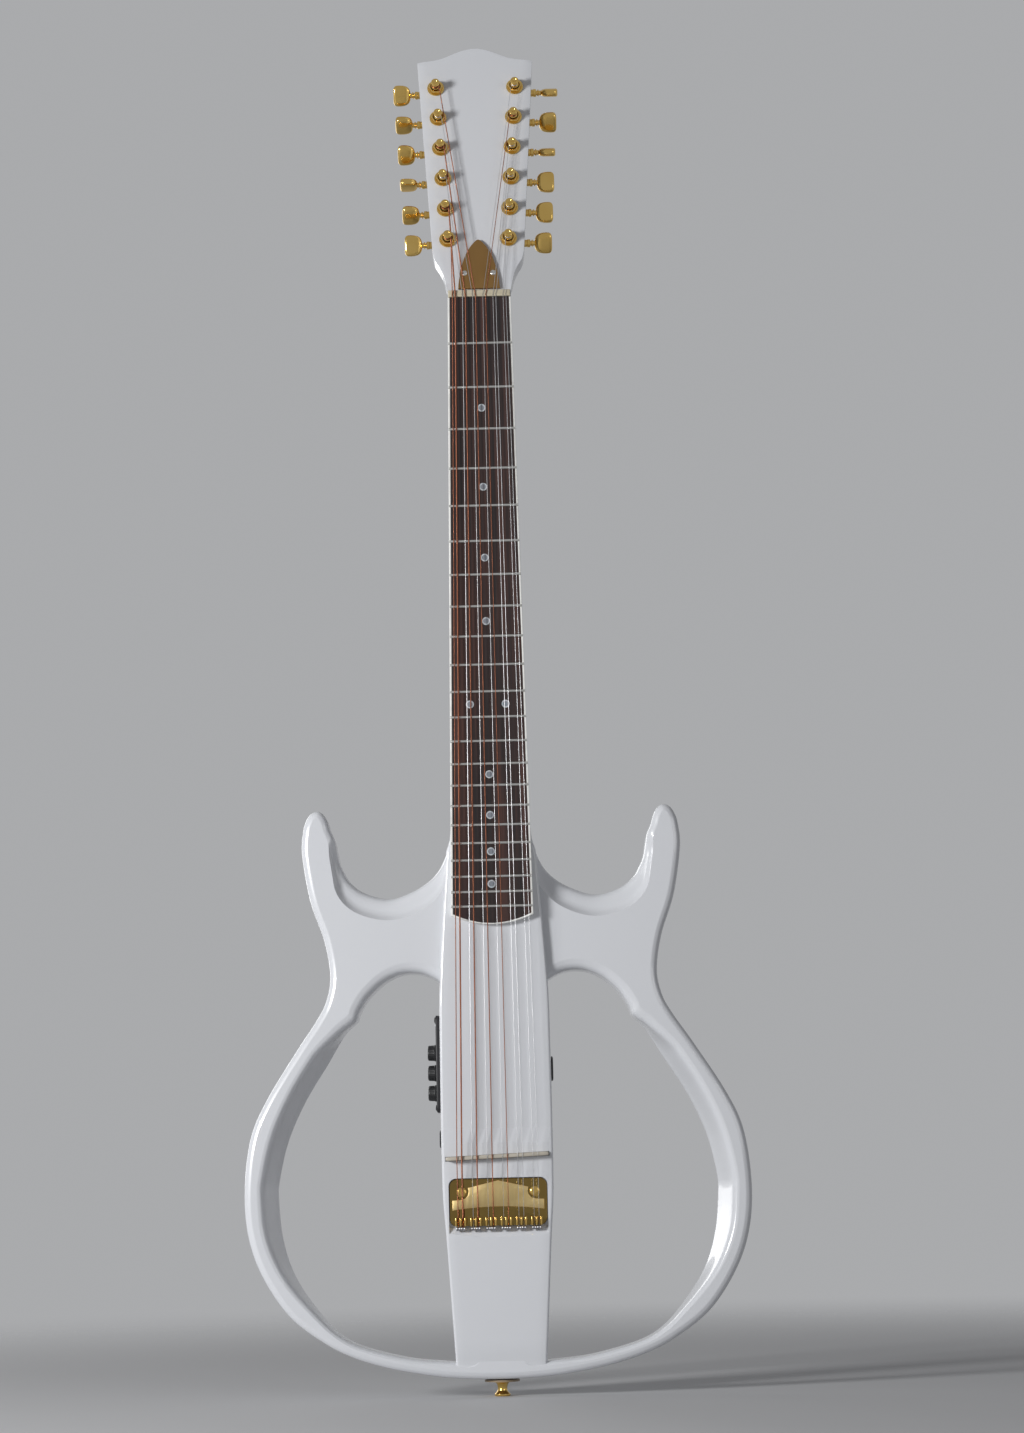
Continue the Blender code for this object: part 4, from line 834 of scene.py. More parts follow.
def finished(name: str, bm: Mesh, material: Material, slot: Slot,
             body: str = ROOT, replaces: Iterable[str] = (), angle: float = 32.0) -> bpy.types.Object:
    """Turn a mesh into a piece that rides on a body.

    Args:
        name: The piece's name.
        bm: Its mesh, which is used up.
        material: Its finish.
        slot: The record's slot that the finish stands for; not used.
        body: The body that carries it.
        replaces: The solids that it stands for.
        angle: The angle in degrees from which an edge is sharp.

    Returns:
        The piece.
    """
    bmesh.ops.remove_doubles(bm, verts=bm.verts, dist=MERGE)
    mesh = as_mesh(name, bm)
    mesh.shade_smooth()
    mesh.set_sharp_from_angle(angle=math.radians(angle))
    mesh.materials.append(material)
    piece = linked(name, mesh)
    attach(piece, body)
    if replaces:
        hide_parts(*replaces)
    LOG.info("%s: %d faces on %s", name, len(mesh.polygons), body)
    return piece


def carved(bm: Mesh, cutters: Iterable[Mesh], operation: str = "DIFFERENCE") -> Mesh:
    """Cut closed shapes out of another, one after the other.

    Args:
        bm: The shape that is cut, which is used up.
        cutters: The shapes that cut, which are used up.
        operation: The Boolean modifier's operation.

    Returns:
        The cut shape.
    """
    for cutter in cutters:
        pair = []
        for shape in (bm, cutter):
            bmesh.ops.recalc_face_normals(shape, faces=shape.faces)
            pair.append(linked("carving", as_mesh("carving", shape)))
        modifier = pair[0].modifiers.new("cut", "BOOLEAN")
        modifier.operation = operation
        modifier.solver = "EXACT"
        modifier.object = pair[1]
        bm = bmesh.new()
        bm.from_object(pair[0], bpy.context.evaluated_depsgraph_get())
        for item in pair:
            mesh = item.data
            bpy.data.objects.remove(item)
            bpy.data.meshes.remove(mesh)
    return bm


@dataclass(frozen=True)
class Screw:
    """A domed screw head with a cross recess; heights are shares of the dome's, radii of the head's."""

    head: float
    height: float
    dome: Rows = ((0.0, -0.5), (1.0, -0.5), (1.0, 0.35), (0.9, 0.65), (0.65, 0.9), (0.3, 1.0), (0.0, 1.0))
    arm: float = 0.58
    half_arm: float = 0.11
    recess: float = 0.3

    def add(self, bm: Mesh, seat: Vector, out: Vector) -> None:
        """Add the head to a mesh, on a seat and facing out.

        Args:
            bm: The mesh that grows.
            seat: The middle of the head's foot.
            out: The way that the head faces.
        """
        dome, cross = bmesh.new(), bmesh.new()
        turned(dome, [(self.head * r, self.height * h) for r, h in self.dome], sides=24)
        arm, half = self.arm * self.head, self.half_arm * self.head
        quarter = (Vector((half, arm)), Vector((half, half)), Vector((arm, half)))
        plus = [Matrix.Rotation(-QUARTER * k, 2) @ point for k in range(4) for point in quarter]
        slab(cross, plus, self.recess * self.height, 2 * self.height)
        place = Matrix.Translation(seat) @ out.to_track_quat("Z", "Y").to_matrix().to_4x4()
        add_to(bm, carved(dome, [cross]), place)


def wall_frame(side: Side, wall: float, height: float) -> Matrix:
    """A frame on a side wall of the block, Z out of it (mm)."""
    place = (side.value * wall * MM, 0, height * MM)
    return Matrix.Translation(place) @ Matrix.Rotation(side.value * QUARTER, 4, "Y")


@dataclass
class OpenFrame:
    """The horns, shoulders and rim round the two holes, in one white piece."""

    half_depth: float = 19.0 * MM
    spacing: float = 3.0 * MM
    profile_steps: int = 4
    support: float = 0.45
    window: int = 4
    cutaway_room: float = 5.0
    outer: Rows = (
        (34.0, 1.8), (60.0, 5.2), (85.7, 10.5), (109.5, 18.2), (130.0, 28.7), (155.4, 48.3), (175.0, 77.0),
        (185.5, 106.2), (188.3, 139.5), (183.5, 179.0), (171.0, 208.0), (148.1, 244.3), (133.2, 266.2),
        (125.6, 280.8), (122.4, 299.5), (126.5, 325.5), (136.5, 355.5), (142.3, 390.5), (141.4, 407.9),
        (139.4, 415.5), (136.0, 421.3))
    cutaway: Rows = (
        (131.0, 423.7), (126.6, 422.2), (123.0, 416.8), (120.6, 409.0), (117.4, 401.4), (115.6, 392.0),
        (114.1, 384.5), (110.9, 377.5), (106.1, 369.8), (95.4, 361.9), (77.5, 357.4), (60.3, 362.5),
        (48.2, 369.5), (40.9, 376.5), (36.6, 383.5), (33.6, 390.5), (30.5, 396.0), (22.0, 398.0))
    hole: Rows = (
        (26.0, 12.6), (39.7, 13.5), (67.6, 16.6), (98.6, 24.5), (116.5, 33.0), (131.4, 47.5), (151.3, 76.5),
        (161.3, 105.5), (164.3, 134.5), (163.4, 149.5), (156.3, 178.5), (143.1, 207.5), (124.9, 236.5),
        (112.4, 256.5), (106.2, 262.8), (102.4, 266.6), (101.2, 271.0), (96.0, 280.2), (89.6, 287.6),
        (80.0, 295.4), (68.2, 300.1), (56.0, 300.3), (46.0, 296.9), (34.0, 288.5), (30.0, 280.0),
        (28.0, 250.0), (24.0, 150.0), (20.0, 50.0), (18.0, 22.0), (20.0, 14.0))
    round_edge: Rows = (
        (5.0, -1.0), (1.6, -0.9), (0.0, -0.63), (0.0, 0.63), (1.6, 0.9), (5.0, 1.0))
    hole_edge: Rows = (
        (7.5, -1.0), (2.4, -0.88), (0.0, -0.52), (0.0, 0.74), (0.6, 0.92), (2.0, 1.0))
    wall_edge: Rows = (
        (14.2, -1.0), (11.2, -0.93), (8.4, -0.66), (3.0, 0.45), (0.8, 0.84), (0.5, 1.0))
    foot_edge: Rows = (
        (3.0, -1.0), (1.0, -0.9), (0.0, -0.63), (0.0, 0.63), (1.0, 0.9), (3.0, 1.0))
    scoop_edge: Rows = (
        (17.5, -1.0), (12.5, -0.74), (1.4, -0.5), (0.0, 0.63), (1.6, 0.9), (5.0, 1.0))
    notch_height: float = 266.0
    notch_fade: float = 34.0
    foot_height: float = 25.0
    foot_fade: float = 95.0
    scoop_foot: float = 359.0
    scoop_height: float = 387.0
    scoop_fade: float = 17.0
    scoop_taper: float = 0.62

    def section(self, kind: str, point: Vector) -> list[Vector]:
        """The edge's section at a point of the outline.

        Args:
            kind: outer, cutaway or hole.
            point: The point in millimetres across and above the tail.

        Returns:
            Points of (millimetres into the wood, millimetres in depth), front to back.
        """
        height = point.y
        if kind == "outer":
            first = second = self.round_edge
            share = 0.0
        elif kind == "cutaway":
            narrow = 1 - self.scoop_taper * ease(height, self.scoop_foot, self.scoop_height)
            first, second = self.round_edge, [(into * narrow, share) for into, share in self.scoop_edge]
            share = ease(height, self.scoop_height + self.scoop_fade, self.scoop_height)
        elif height > (self.notch_height + self.foot_height) / 2:
            first, second = self.hole_edge, self.wall_edge
            share = ease(height, self.notch_height, self.notch_height - self.notch_fade)
        else:
            first, second = self.foot_edge, self.wall_edge
            share = ease(height, self.foot_height, self.foot_height + self.foot_fade)
        depth = self.half_depth / MM
        knots = [Vector((a[0] + (b[0] - a[0]) * share, depth * (a[1] + (b[1] - a[1]) * share)))
                 for a, b in zip(first, second)]
        run = flowing(knots, steps=self.profile_steps)
        front, back = run[0] + Vector((self.support, 0)), run[-1] + Vector((self.support, 0))
        return [front, *run, back]

    def rings(self, outline: Sequence[Vector], kinds: Sequence[str], inward: int) -> list[Ring]:
        """One ring for each depth of a closed outline.

        Args:
            outline: The outline's points in millimetres.
            kinds: The kind of edge at each point.
            inward: 1 where the wood lies left of the outline's run, otherwise -1.

        Returns:
            The rings, front to back.
        """
        count = len(outline)
        stacks = []
        for i, (point, kind) in enumerate(zip(outline, kinds)):
            run = outline[(i + self.window) % count] - outline[i - self.window]
            into = Vector((-run.y, run.x)).normalized() * inward
            places = [(point + into * offset, depth) for offset, depth in self.section(kind, point)]
            stacks.append([Vector((at.x * MM, depth * MM, TAIL_Z + at.y * MM)) for at, depth in places])
        return [list(ring) for ring in zip(*stacks)]

    def build(self, palette: Palette) -> None:
        """Make the piece.

        Args:
            palette: The finishes.
        """
        right = [Vector(p) for p in self.outer + self.cutaway]
        left = [Vector((-p.x, p.y)) for p in reversed(right)]
        flow = flowing([Vector((0.0, 0.4))] + right + left, closed=True, spacing=self.spacing / MM)
        tip, foot = self.cutaway[0][0], min(height for _, height in self.cutaway) - self.cutaway_room
        kinds = ["cutaway" if abs(p.x) < tip and p.y > foot else "outer" for p in flow]
        bm = bmesh.new()
        fronts, backs = [], []
        loops = [(flow, kinds, 1)]
        hole = flowing([Vector(p) for p in self.hole], closed=True, spacing=self.spacing / MM)
        for side in Side:
            mirrored = [Vector((side.value * p.x, p.y)) for p in hole]
            loops.append((mirrored, ["hole"] * len(hole), -side.value))
        for outline, kind, inward in loops:
            front, back = skin(bm, self.rings(outline, kind, inward))
            fronts += loop_edges(front)
            backs += loop_edges(back)
        for edges in (fronts, backs):
            bmesh.ops.triangle_fill(bm, edges=edges, use_beauty=True)
        bmesh.ops.recalc_face_normals(bm, faces=bm.faces)
        finished("body_frame", bm, palette.lacquer, Slot.LACQUER, replaces=("bass_wing", "treble_wing"))


@dataclass
class Section:
    """A cross-section with a flat front: an oval back at boxy 0, a rounded box at boxy 1.

    Lengths are in millimetres; front and back are depths along Y.
    """

    half: float
    front: float
    back: float
    boxy: float = 1.0
    oval: float = 2.3
    front_radius: float = 0.0
    back_radius: float = 0.0
    across: int = 12
    arc_steps: int = 4
    side_steps: int = 6
    corner_steps: int = 6
    base_steps: int = 4

    def half_path(self) -> list[Vector]:
        """The right half, from the flat front's end round to the middle of the back.

        Returns:
            Points of (across, depth) in millimetres.
        """
        total = self.arc_steps + self.side_steps + self.corner_steps + self.base_steps
        square = [(self.half - self.front_radius * (1 - math.sin(a)),
                   self.front + self.front_radius * (1 - math.cos(a)))
                  for a in spread(QUARTER, self.arc_steps)[:-1]]
        low, high = self.front + self.front_radius, self.back - self.back_radius
        square += [(self.half, low + rise) for rise in spread(high - low, self.side_steps)[:-1]]
        square += [(self.half - self.back_radius * (1 - math.cos(a)), high + self.back_radius * math.sin(a))
                   for a in spread(QUARTER, self.corner_steps)[:-1]]
        inner = self.half - self.back_radius
        square += [(inner * (1 - i / self.base_steps), self.back) for i in range(self.base_steps + 1)]
        path = []
        for i, (x, y) in enumerate(square):
            a = QUARTER * i / total
            curved = Vector((self.half * math.cos(a) ** (2 / self.oval) if i < total else 0.0,
                             self.front + (self.back - self.front) * math.sin(a) ** (2 / self.oval)))
            path.append(curved.lerp(Vector((x, y)), self.boxy))
        return path

    def ring(self, place: Matrix) -> Ring:
        """The whole outline in metres, carried to its place.

        Args:
            place: The section's frame.

        Returns:
            The ring.
        """
        right = self.half_path()
        left = [Vector((-p.x, p.y)) for p in reversed(right)]
        face = [left[-1].lerp(right[0], i / self.across) for i in range(1, self.across)]
        return [place @ Vector((p.x * MM, p.y * MM, 0.0)) for p in right + left[1:] + face]


@dataclass
class Bridge:
    """Where the saddle and the tailpiece sit, shared by the pieces that meet there (mm)."""

    saddle_z: float = 175.4
    saddle_top: float = -36.5
    saddle_depth: float = 12.0
    saddle_length: float = 76.5
    saddle_thickness: float = 3.0
    saddle_slant: float = math.radians(2.1)
    saddle_crown: float = 0.6
    plate_low: float = 124.8
    plate_high: float = 159.3
    plate_half: float = 36.0
    plate_back: float = -24.9
    plate_thickness: float = 2.5
    plate_corner: float = 5.5
    pocket_floor: float = -24.6
    pocket_foot: float = 119.8
    pocket_bulge: float = 3.3
    lip_top: float = 124.2
    margin: float = 0.5

    def saddle_frame(self) -> Matrix:
        """The slanted saddle's frame at the middle of its string line."""
        return Matrix.Translation((0, 0, self.saddle_z * MM)) @ Matrix.Rotation(-self.saddle_slant, 4, "Y")


@dataclass
class Spine:
    """The solid centre block that runs from the tail to the neck (mm above the tail)."""

    half_widths: Rows = (
        (1.2, 19.0), (2.5, 31.0), (5.5, 33.0), (15.5, 33.7), (102.5, 38.7), (140.5, 41.0), (268.5, 40.9),
        (295.5, 40.0), (390.2, 33.5))
    fronts: Rows = (
        (1.2, -14.5), (4.0, -17.5), (12.9, -18.8), (16.0, -19.6), (24.0, -21.6), (105.0, -28.5),
        (172.8, -28.5), (183.8, -25.0), (390.2, -25.0))
    backs: Rows = ((1.2, 15.5), (2.5, 17.8), (5.5, 19.3), (10.0, 20.5), (15.5, 21.0))
    front_radius: float = 2.0
    back_radius: float = 4.0
    step: float = 6.0
    crease: float = 0.3
    bay_low: Triple = (-15.65, 0.5, 61.5)
    bay_high: Triple = (15.65, 24.0, 116.5)
    hinge: Triple = (18.0, 19.8, 114.3)
    hinge_radius: float = 1.1
    slot_room: tuple[float, float] = (0.3, 0.2)
    slot_depths: tuple[float, float] = (-40.0, -22.5)
    bores: tuple[tuple[Side, float, float, float], ...] = (
        (Side.BASS, 189.3, 4.3, 12.0), (Side.TREBLE, 240.0, 6.9, 27.0))
    bore_mouth: float = 41.2
    bore_out: float = 4.0
    lip_step: float = 0.6
    cut_over: float = 2.0
    edge: float = 0.5

    @staticmethod
    def straight(table: Sequence[tuple[float, float]], value: float) -> float:
        """Read a table in straight lines between its rows.

        Args:
            table: The rows, their places rising.
            value: The place to read.

        Returns:
            The size there.
        """
        for (a, low), (b, high) in zip(table, table[1:]):
            if value <= b:
                return low + (high - low) * max(0.0, (value - a) / (b - a))
        return table[-1][1]

    def rings(self) -> list[Ring]:
        """The block's sections from the tail up.

        Returns:
            The rings.
        """
        top = self.half_widths[-1][0]
        start, end = self.fronts[-3][0], self.fronts[-2][0]
        heights = {row[0] for row in self.half_widths + self.fronts + self.backs}
        heights |= {place + way * self.crease for place in (start, end) for way in (-1, 1)}
        steps = int(top / self.step)
        spaced = {top * i / steps for i in range(3, steps)}
        heights |= {h for h in spaced if min(abs(h - other) for other in heights) > self.step / 3}
        rings = []
        for height in sorted(heights):
            section = Section(reading(self.half_widths, height), self.straight(self.fronts, height),
                              self.straight(self.backs, height), front_radius=self.front_radius,
                              back_radius=self.back_radius)
            rings.append(section.ring(Matrix.Translation((0, 0, TAIL_Z + height * MM))))
        return rings

    def pocket(self, bridge: Bridge, steps: int = 16, corner_steps: int = 5) -> Mesh:
        """The tailpiece's pocket, with a scooped lip sloping out below it.

        Args:
            bridge: The sizes of the plate and the lip.
            steps: How many spans the bulging foot has.
            corner_steps: How many spans each top corner has.

        Returns:
            The shape to cut away.
        """
        half, top = bridge.plate_half + bridge.margin, bridge.plate_high + bridge.margin
        corner, face = bridge.plate_corner, PLATFORM_FACE / MM
        foot = [Vector((x - half, bridge.pocket_foot - bridge.pocket_bulge * (1 - (x / half - 1) ** 2)))
                for x in spread(2 * half, steps)]
        arc = [Vector((half - corner * (1 - math.cos(a)), top - corner * (1 - math.sin(a))))
               for a in spread(QUARTER, corner_steps)]
        arc += [Vector((-p.x, p.y)) for p in reversed(arc)]
        rings = []
        levels = ((bridge.pocket_floor, 1.0), (face + self.lip_step, 0.0), (face - self.cut_over, 0.0))
        for depth, share in levels:
            rings.append([mm(p.x, depth, p.y + (bridge.lip_top - p.y) * share) for p in foot]
                         + [mm(p.x, depth, p.y) for p in arc])
        return capped(rings)

    def cutters(self, bridge: Bridge) -> list[Mesh]:
        """Everything that is cut out of the block.

        Args:
            bridge: Where the saddle and the tailpiece sit.

        Returns:
            The shapes to cut away.
        """
        reach = (bridge.saddle_length / 2 + self.slot_room[0]) * MM
        deep = (bridge.saddle_thickness / 2 + self.slot_room[1]) * MM
        front, floor = (depth * MM for depth in self.slot_depths)
        x, y, z = self.hinge
        pins = Matrix.Translation((0, y * MM, z * MM)) @ SIDEWAYS
        made = [self.pocket(bridge), box((-reach, front, -deep), (reach, floor, deep), bridge.saddle_frame()),
                box(mm(*self.bay_low), mm(*self.bay_high)),
                rod(self.hinge_radius * MM, -x * MM, x * MM, pins, 16)]
        for side, height, radius, length in self.bores:
            made.append(rod(radius * MM, -length * MM, self.bore_out * MM,
                            wall_frame(side, self.bore_mouth, height)))
        return made

    def build(self, palette: Palette, bridge: Bridge) -> None:
        """Make the piece.

        Args:
            palette: The finishes.
            bridge: Where the saddle and the tailpiece sit.
        """
        bm = carved(capped(self.rings()), self.cutters(bridge))
        piece = finished("centre_spine", bm, palette.lacquer, Slot.LACQUER, replaces=("centre_block",))
        soften(piece, self.edge * MM, 2, 50.0)


def soften(piece: bpy.types.Object, width: float, segments: int, angle: float) -> None:
    """Round a piece's sharp edges with a modifier.

    Args:
        piece: The piece.
        width: How far the rounding reaches.
        segments: How many faces it has across.
        angle: The angle in degrees from which an edge is rounded.
    """
    modifier = piece.modifiers.new("soften", "BEVEL")
    modifier.width = width
    modifier.segments = segments
    modifier.limit_method = "ANGLE"
    modifier.angle_limit = math.radians(angle)
    modifier.harden_normals = True


@dataclass
class Scale:
    """The fretted length: board widths, frets and string places (mm)."""

    length: float = 650.0
    frets: int = 22
    nut_width: float = 48.2
    end_width: float = 61.4
    corner_margin: float = 6.4
    end_bulge: float = 7.0
    nut_spacing: float = 7.75
    nut_pair: float = 1.1
    saddle_spacing: float = 11.2
    saddle_pair: float = 1.8

    def fret(self, number: int) -> float:
        """Distance of a fret from the nut."""
        return self.length * (1 - 2 ** (-number / 12))

    @property
    def corner(self) -> float:
        """Distance of the board's end corners from the nut."""
        return self.fret(self.frets) + self.corner_margin

    def half(self, distance: float) -> float:
        """Half the board's width with its binding."""
        return (self.nut_width + (self.end_width - self.nut_width) * distance / self.corner) / 2


@dataclass
class Neck:
    """Neck, heel and headstock in one piece (mm; distances run down from the nut)."""

    scale: Scale
    depth_nut: float = 15.0
    depth_middle: float = 17.0
    oval: float = 2.3
    nut_oval: float = 3.3
    heel_length: float = 50.0
    heel_shares: Rows = ((0.0, 0.0), (0.4, 0.12), (0.7, 0.45), (1.0, 1.0))
    flare_length: float = 20.5
    block_half: float = 33.5
    block_back: float = 21.0
    block_top: float = 402.7
    block_radii: tuple[float, float] = (2.0, 4.0)
    shelf: float = 6.0
    thickness: float = 15.0
    sides: Rows = (
        (6.4, 24.3), (9.0, 24.7), (12.0, 25.3), (20.0, 27.2), (27.0, 30.2), (33.0, 33.6), (41.0, 35.3),
        (60.0, 36.5), (120.0, 40.1), (180.0, 43.7), (200.5, 44.9))
    top: Rows = (
        (203.5, 45.0), (204.7, 40.0), (205.5, 33.0), (207.1, 26.0), (210.3, 18.4), (213.5, 10.6),
        (215.4, 3.0))
    edge: float = 0.8
    post_hole: float = 5.15
    heel_step: float = 2.5
    shaft_step: float = 25.0
    shelf_boxy: float = 0.25
    cheek_boxy: float = 0.4
    head_oval: float = 4.3
    cheek_step: float = 2.0
    cheek_steps: int = 20
    crisp_angle: float = math.radians(50)
    head_runs: tuple[float, ...] = (60.0, 90.0, 120.0, 150.0, 180.0, 200.5)

    def shaft(self) -> list[Ring]:
        """Sections from the block up to the nut.

        Returns:
            The rings, the block's first.
        """
        face = TOP_FACE / MM
        length = NUT_Z / MM - self.block_top
        plain = length - self.heel_length
        stations = [length - self.heel_step * i for i in range(int(self.heel_length / self.heel_step))]
        stations += [plain - self.shaft_step * i for i in range(1 + int(plain / self.shaft_step))]
        rings = []
        for distance in stations + [0.0]:
            swell = reading(self.heel_shares, (distance - plain) / self.heel_length)
            flare = max(0.0, (distance - length + self.flare_length) / self.flare_length) ** 2
            half = self.scale.half(distance) + (self.block_half - self.scale.half(length)) * flare
            depth = self.depth_nut + (self.depth_middle - self.depth_nut) * min(1.0, 2 * distance / length)
            back = face + depth + (self.block_back - face - self.depth_middle) * swell
            section = Section(half, face, back, boxy=ease(swell, 0.1, 1.0), oval=self.oval,
                              front_radius=self.block_radii[0] * flare, back_radius=self.block_radii[1])
            rings.append(section.ring(Matrix.Translation((0, 0, NUT_Z - distance * MM))))
        return rings

    def head(self) -> list[Ring]:
        """Sections of the nut's shelf and the headstock.

        Returns:
            The rings, the nut's first.
        """
        lean = (Matrix.Translation((0, TOP_FACE, NUT_Z + self.shelf * MM))
                @ Matrix.Rotation(-HEAD_TILT / 2, 4, "X"))
        shelf = Section(self.scale.nut_width / 2, 0.0, self.depth_nut, self.shelf_boxy, self.nut_oval)
        rings = [shelf.ring(lean)]
        flat = HEAD_FRAME @ UPRIGHT.inverted()
        start, full = self.sides[0][0], self.sides[2][0]
        runs = [start + self.cheek_step * i for i in range(self.cheek_steps)] + list(self.head_runs)
        stations = [(s, reading(self.sides, s)) for s in runs]
        stations += [(p.x, p.y) for p in flowing([Vector(row) for row in self.top], steps=4)]
        for s, half in stations:
            boxy = self.cheek_boxy + (1 - self.cheek_boxy) * ease(s, start, full)
            section = Section(half, 0.0, self.thickness, boxy, self.head_oval)
            rings.append(section.ring(flat @ Matrix.Translation((0, 0, s * MM))))
        return rings

    def build(self, palette: Palette, posts: Sequence[Matrix]) -> None:
        """Make the piece, drilled for the string posts.

        Args:
            palette: The finishes.
            posts: The string posts' frames.
        """
        bm = capped(self.shaft() + self.head())
        bmesh.ops.remove_doubles(bm, verts=bm.verts, dist=1e-6)
        bmesh.ops.recalc_face_normals(bm, faces=bm.faces)
        inverse = HEAD_FRAME.inverted()
        start = self.sides[2][0] * MM
        crisp = [edge for edge in bm.edges if edge.is_manifold and edge.calc_face_angle() > self.crisp_angle
                 and min((inverse @ vert.co).y for vert in edge.verts) > start]
        rounded(bm, crisp, self.edge * MM, clamp=True)
        radius, deep = self.post_hole * MM, self.thickness * MM
        bm = carved(bm, (rod(radius, -1.5 * deep, 0.5 * deep, post) for post in posts))
        finished("neck_and_headstock", bm, palette.lacquer, Slot.LACQUER, replaces=("neck",))


@dataclass
class Fretboard:
    """The board with its binding, frets and position dots (mm)."""

    scale: Scale
    binding: float = 1.5
    end_share: float = 0.6
    edge: float = 0.3
    fret_width: float = 2.2
    fret_height: float = 1.0
    fret_inset: float = 0.2
    fret_foot: float = 0.3
    fret_ends: Rows = ((0.0, 0.15), (0.5, 0.8), (1.1, 1.0))
    dot_radius: float = 3.0
    eye_radius: float = 2.1
    dot_depth: float = 0.3
    dot_rise: float = 0.05
    dot_frets: tuple[int, ...] = (3, 5, 7, 9, 12, 15, 17, 19, 21)
    octave: int = 12
    octave_spread: float = 13.4
    gap: float = 0.3

    def outline(self, inset: float, steps: int = 24) -> list[tuple[float, float]]:
        """The board's outline from the nut's bass end round the arc to the treble end.

        Args:
            inset: How far it lies inside the board's edge.
            steps: How many spans the arc has.

        Returns:
            Points of (x, z) in metres.
        """
        corner = self.scale.corner
        half, nut_half = self.scale.half(corner) - inset, self.scale.half(0.0) - inset
        points = [(-nut_half, self.gap)]
        for across in spread(2 * half, steps):
            bulge = self.scale.end_bulge * (1 - (across / half - 1) ** 2)
            points.append((across - half, corner - self.end_share * inset + bulge))
        points.append((nut_half, self.gap))
        return [(x * MM, NUT_Z - d * MM) for x, d in points]

    def fret(self, number: int, steps: int = 10) -> Mesh:
        """One fret: a low crown with bevelled ends, lying across the board.

        Args:
            number: The fret's number.
            steps: How many steps its curve has.

        Returns:
            The fret.
        """
        distance = self.scale.fret(number)
        half = self.scale.half(distance) - self.fret_inset
        stations = [(inset - half, size) for inset, size in self.fret_ends]
        stations += [(-x, size) for x, size in reversed(stations)]
        rings = []
        for x, size in stations:
            rise = self.fret_foot + self.fret_height * size
            rings.append([Vector((x * MM, BOARD_FACE + (self.fret_foot - rise * math.sin(a)) * MM,
                                  NUT_Z - (distance - self.fret_width / 2 * math.cos(a)) * MM))
                          for a in spread(math.pi, steps)])
        return capped(rings)

    def dots(self) -> list[Matrix]:
        """The frames of the position dots, facing out of the board.

        Returns:
            A frame for each dot.
        """
        places = []
        for number in self.dot_frets:
            distance = (self.scale.fret(number) + self.scale.fret(number - 1)) / 2
            offsets = (-self.octave_spread, self.octave_spread) if number == self.octave else (0.0,)
            places += [Matrix.Translation((x * MM, BOARD_FACE, NUT_Z - distance * MM)) @ UPRIGHT
                       for x in offsets]
        return places

    def build(self, palette: Palette) -> None:
        """Make the board, the binding, the frets and the dots.

        Args:
            palette: The finishes.
        """
        face = -BOARD_FACE
        board, binding, frets, rims, eyes = (bmesh.new() for _ in range(5))
        slab(board, self.outline(self.binding), -TOP_FACE, face, UPRIGHT)
        finished("rosewood_board", board, palette.rosewood, Slot.ROSEWOOD, replaces=("fretboard",))
        loop = self.outline(0.0) + self.outline(self.binding)[::-1]
        slab(binding, loop, -TOP_FACE, face, UPRIGHT, self.edge * MM, 2)
        finished("edge_binding", binding, palette.binding, Slot.BINDING, replaces=("fretboard_binding",))
        for number in range(1, self.scale.frets + 1):
            add_to(frets, self.fret(number))
        finished("frets", frets, palette.nickel, Slot.ROD_STEEL)
        outer, inner, low, high = self.dot_radius, self.eye_radius, -self.dot_depth, self.dot_rise
        for place in self.dots():
            turned(rims, [(inner, low), (outer, low), (outer, 0.4 * high), (outer - 2 * high, high),
                          (inner, high)], place, joined=True, unit=MM)
            turned(eyes, [(0, low), (inner, low), (inner, 0.6 * high), (0, 0.6 * high)], place, unit=MM)
        finished("dot_rims", rims, palette.pearl, Slot.BONE)
        finished("dot_eyes", eyes, palette.pearl_eye, Slot.BONE)


@dataclass(frozen=True)
class StringRun:
    """One string: its radius, its kind, its side and post, and its places at nut and saddle (mm)."""

    radius: float
    wound: bool
    side: Side
    rank: int
    nut_x: float
    saddle_x: float


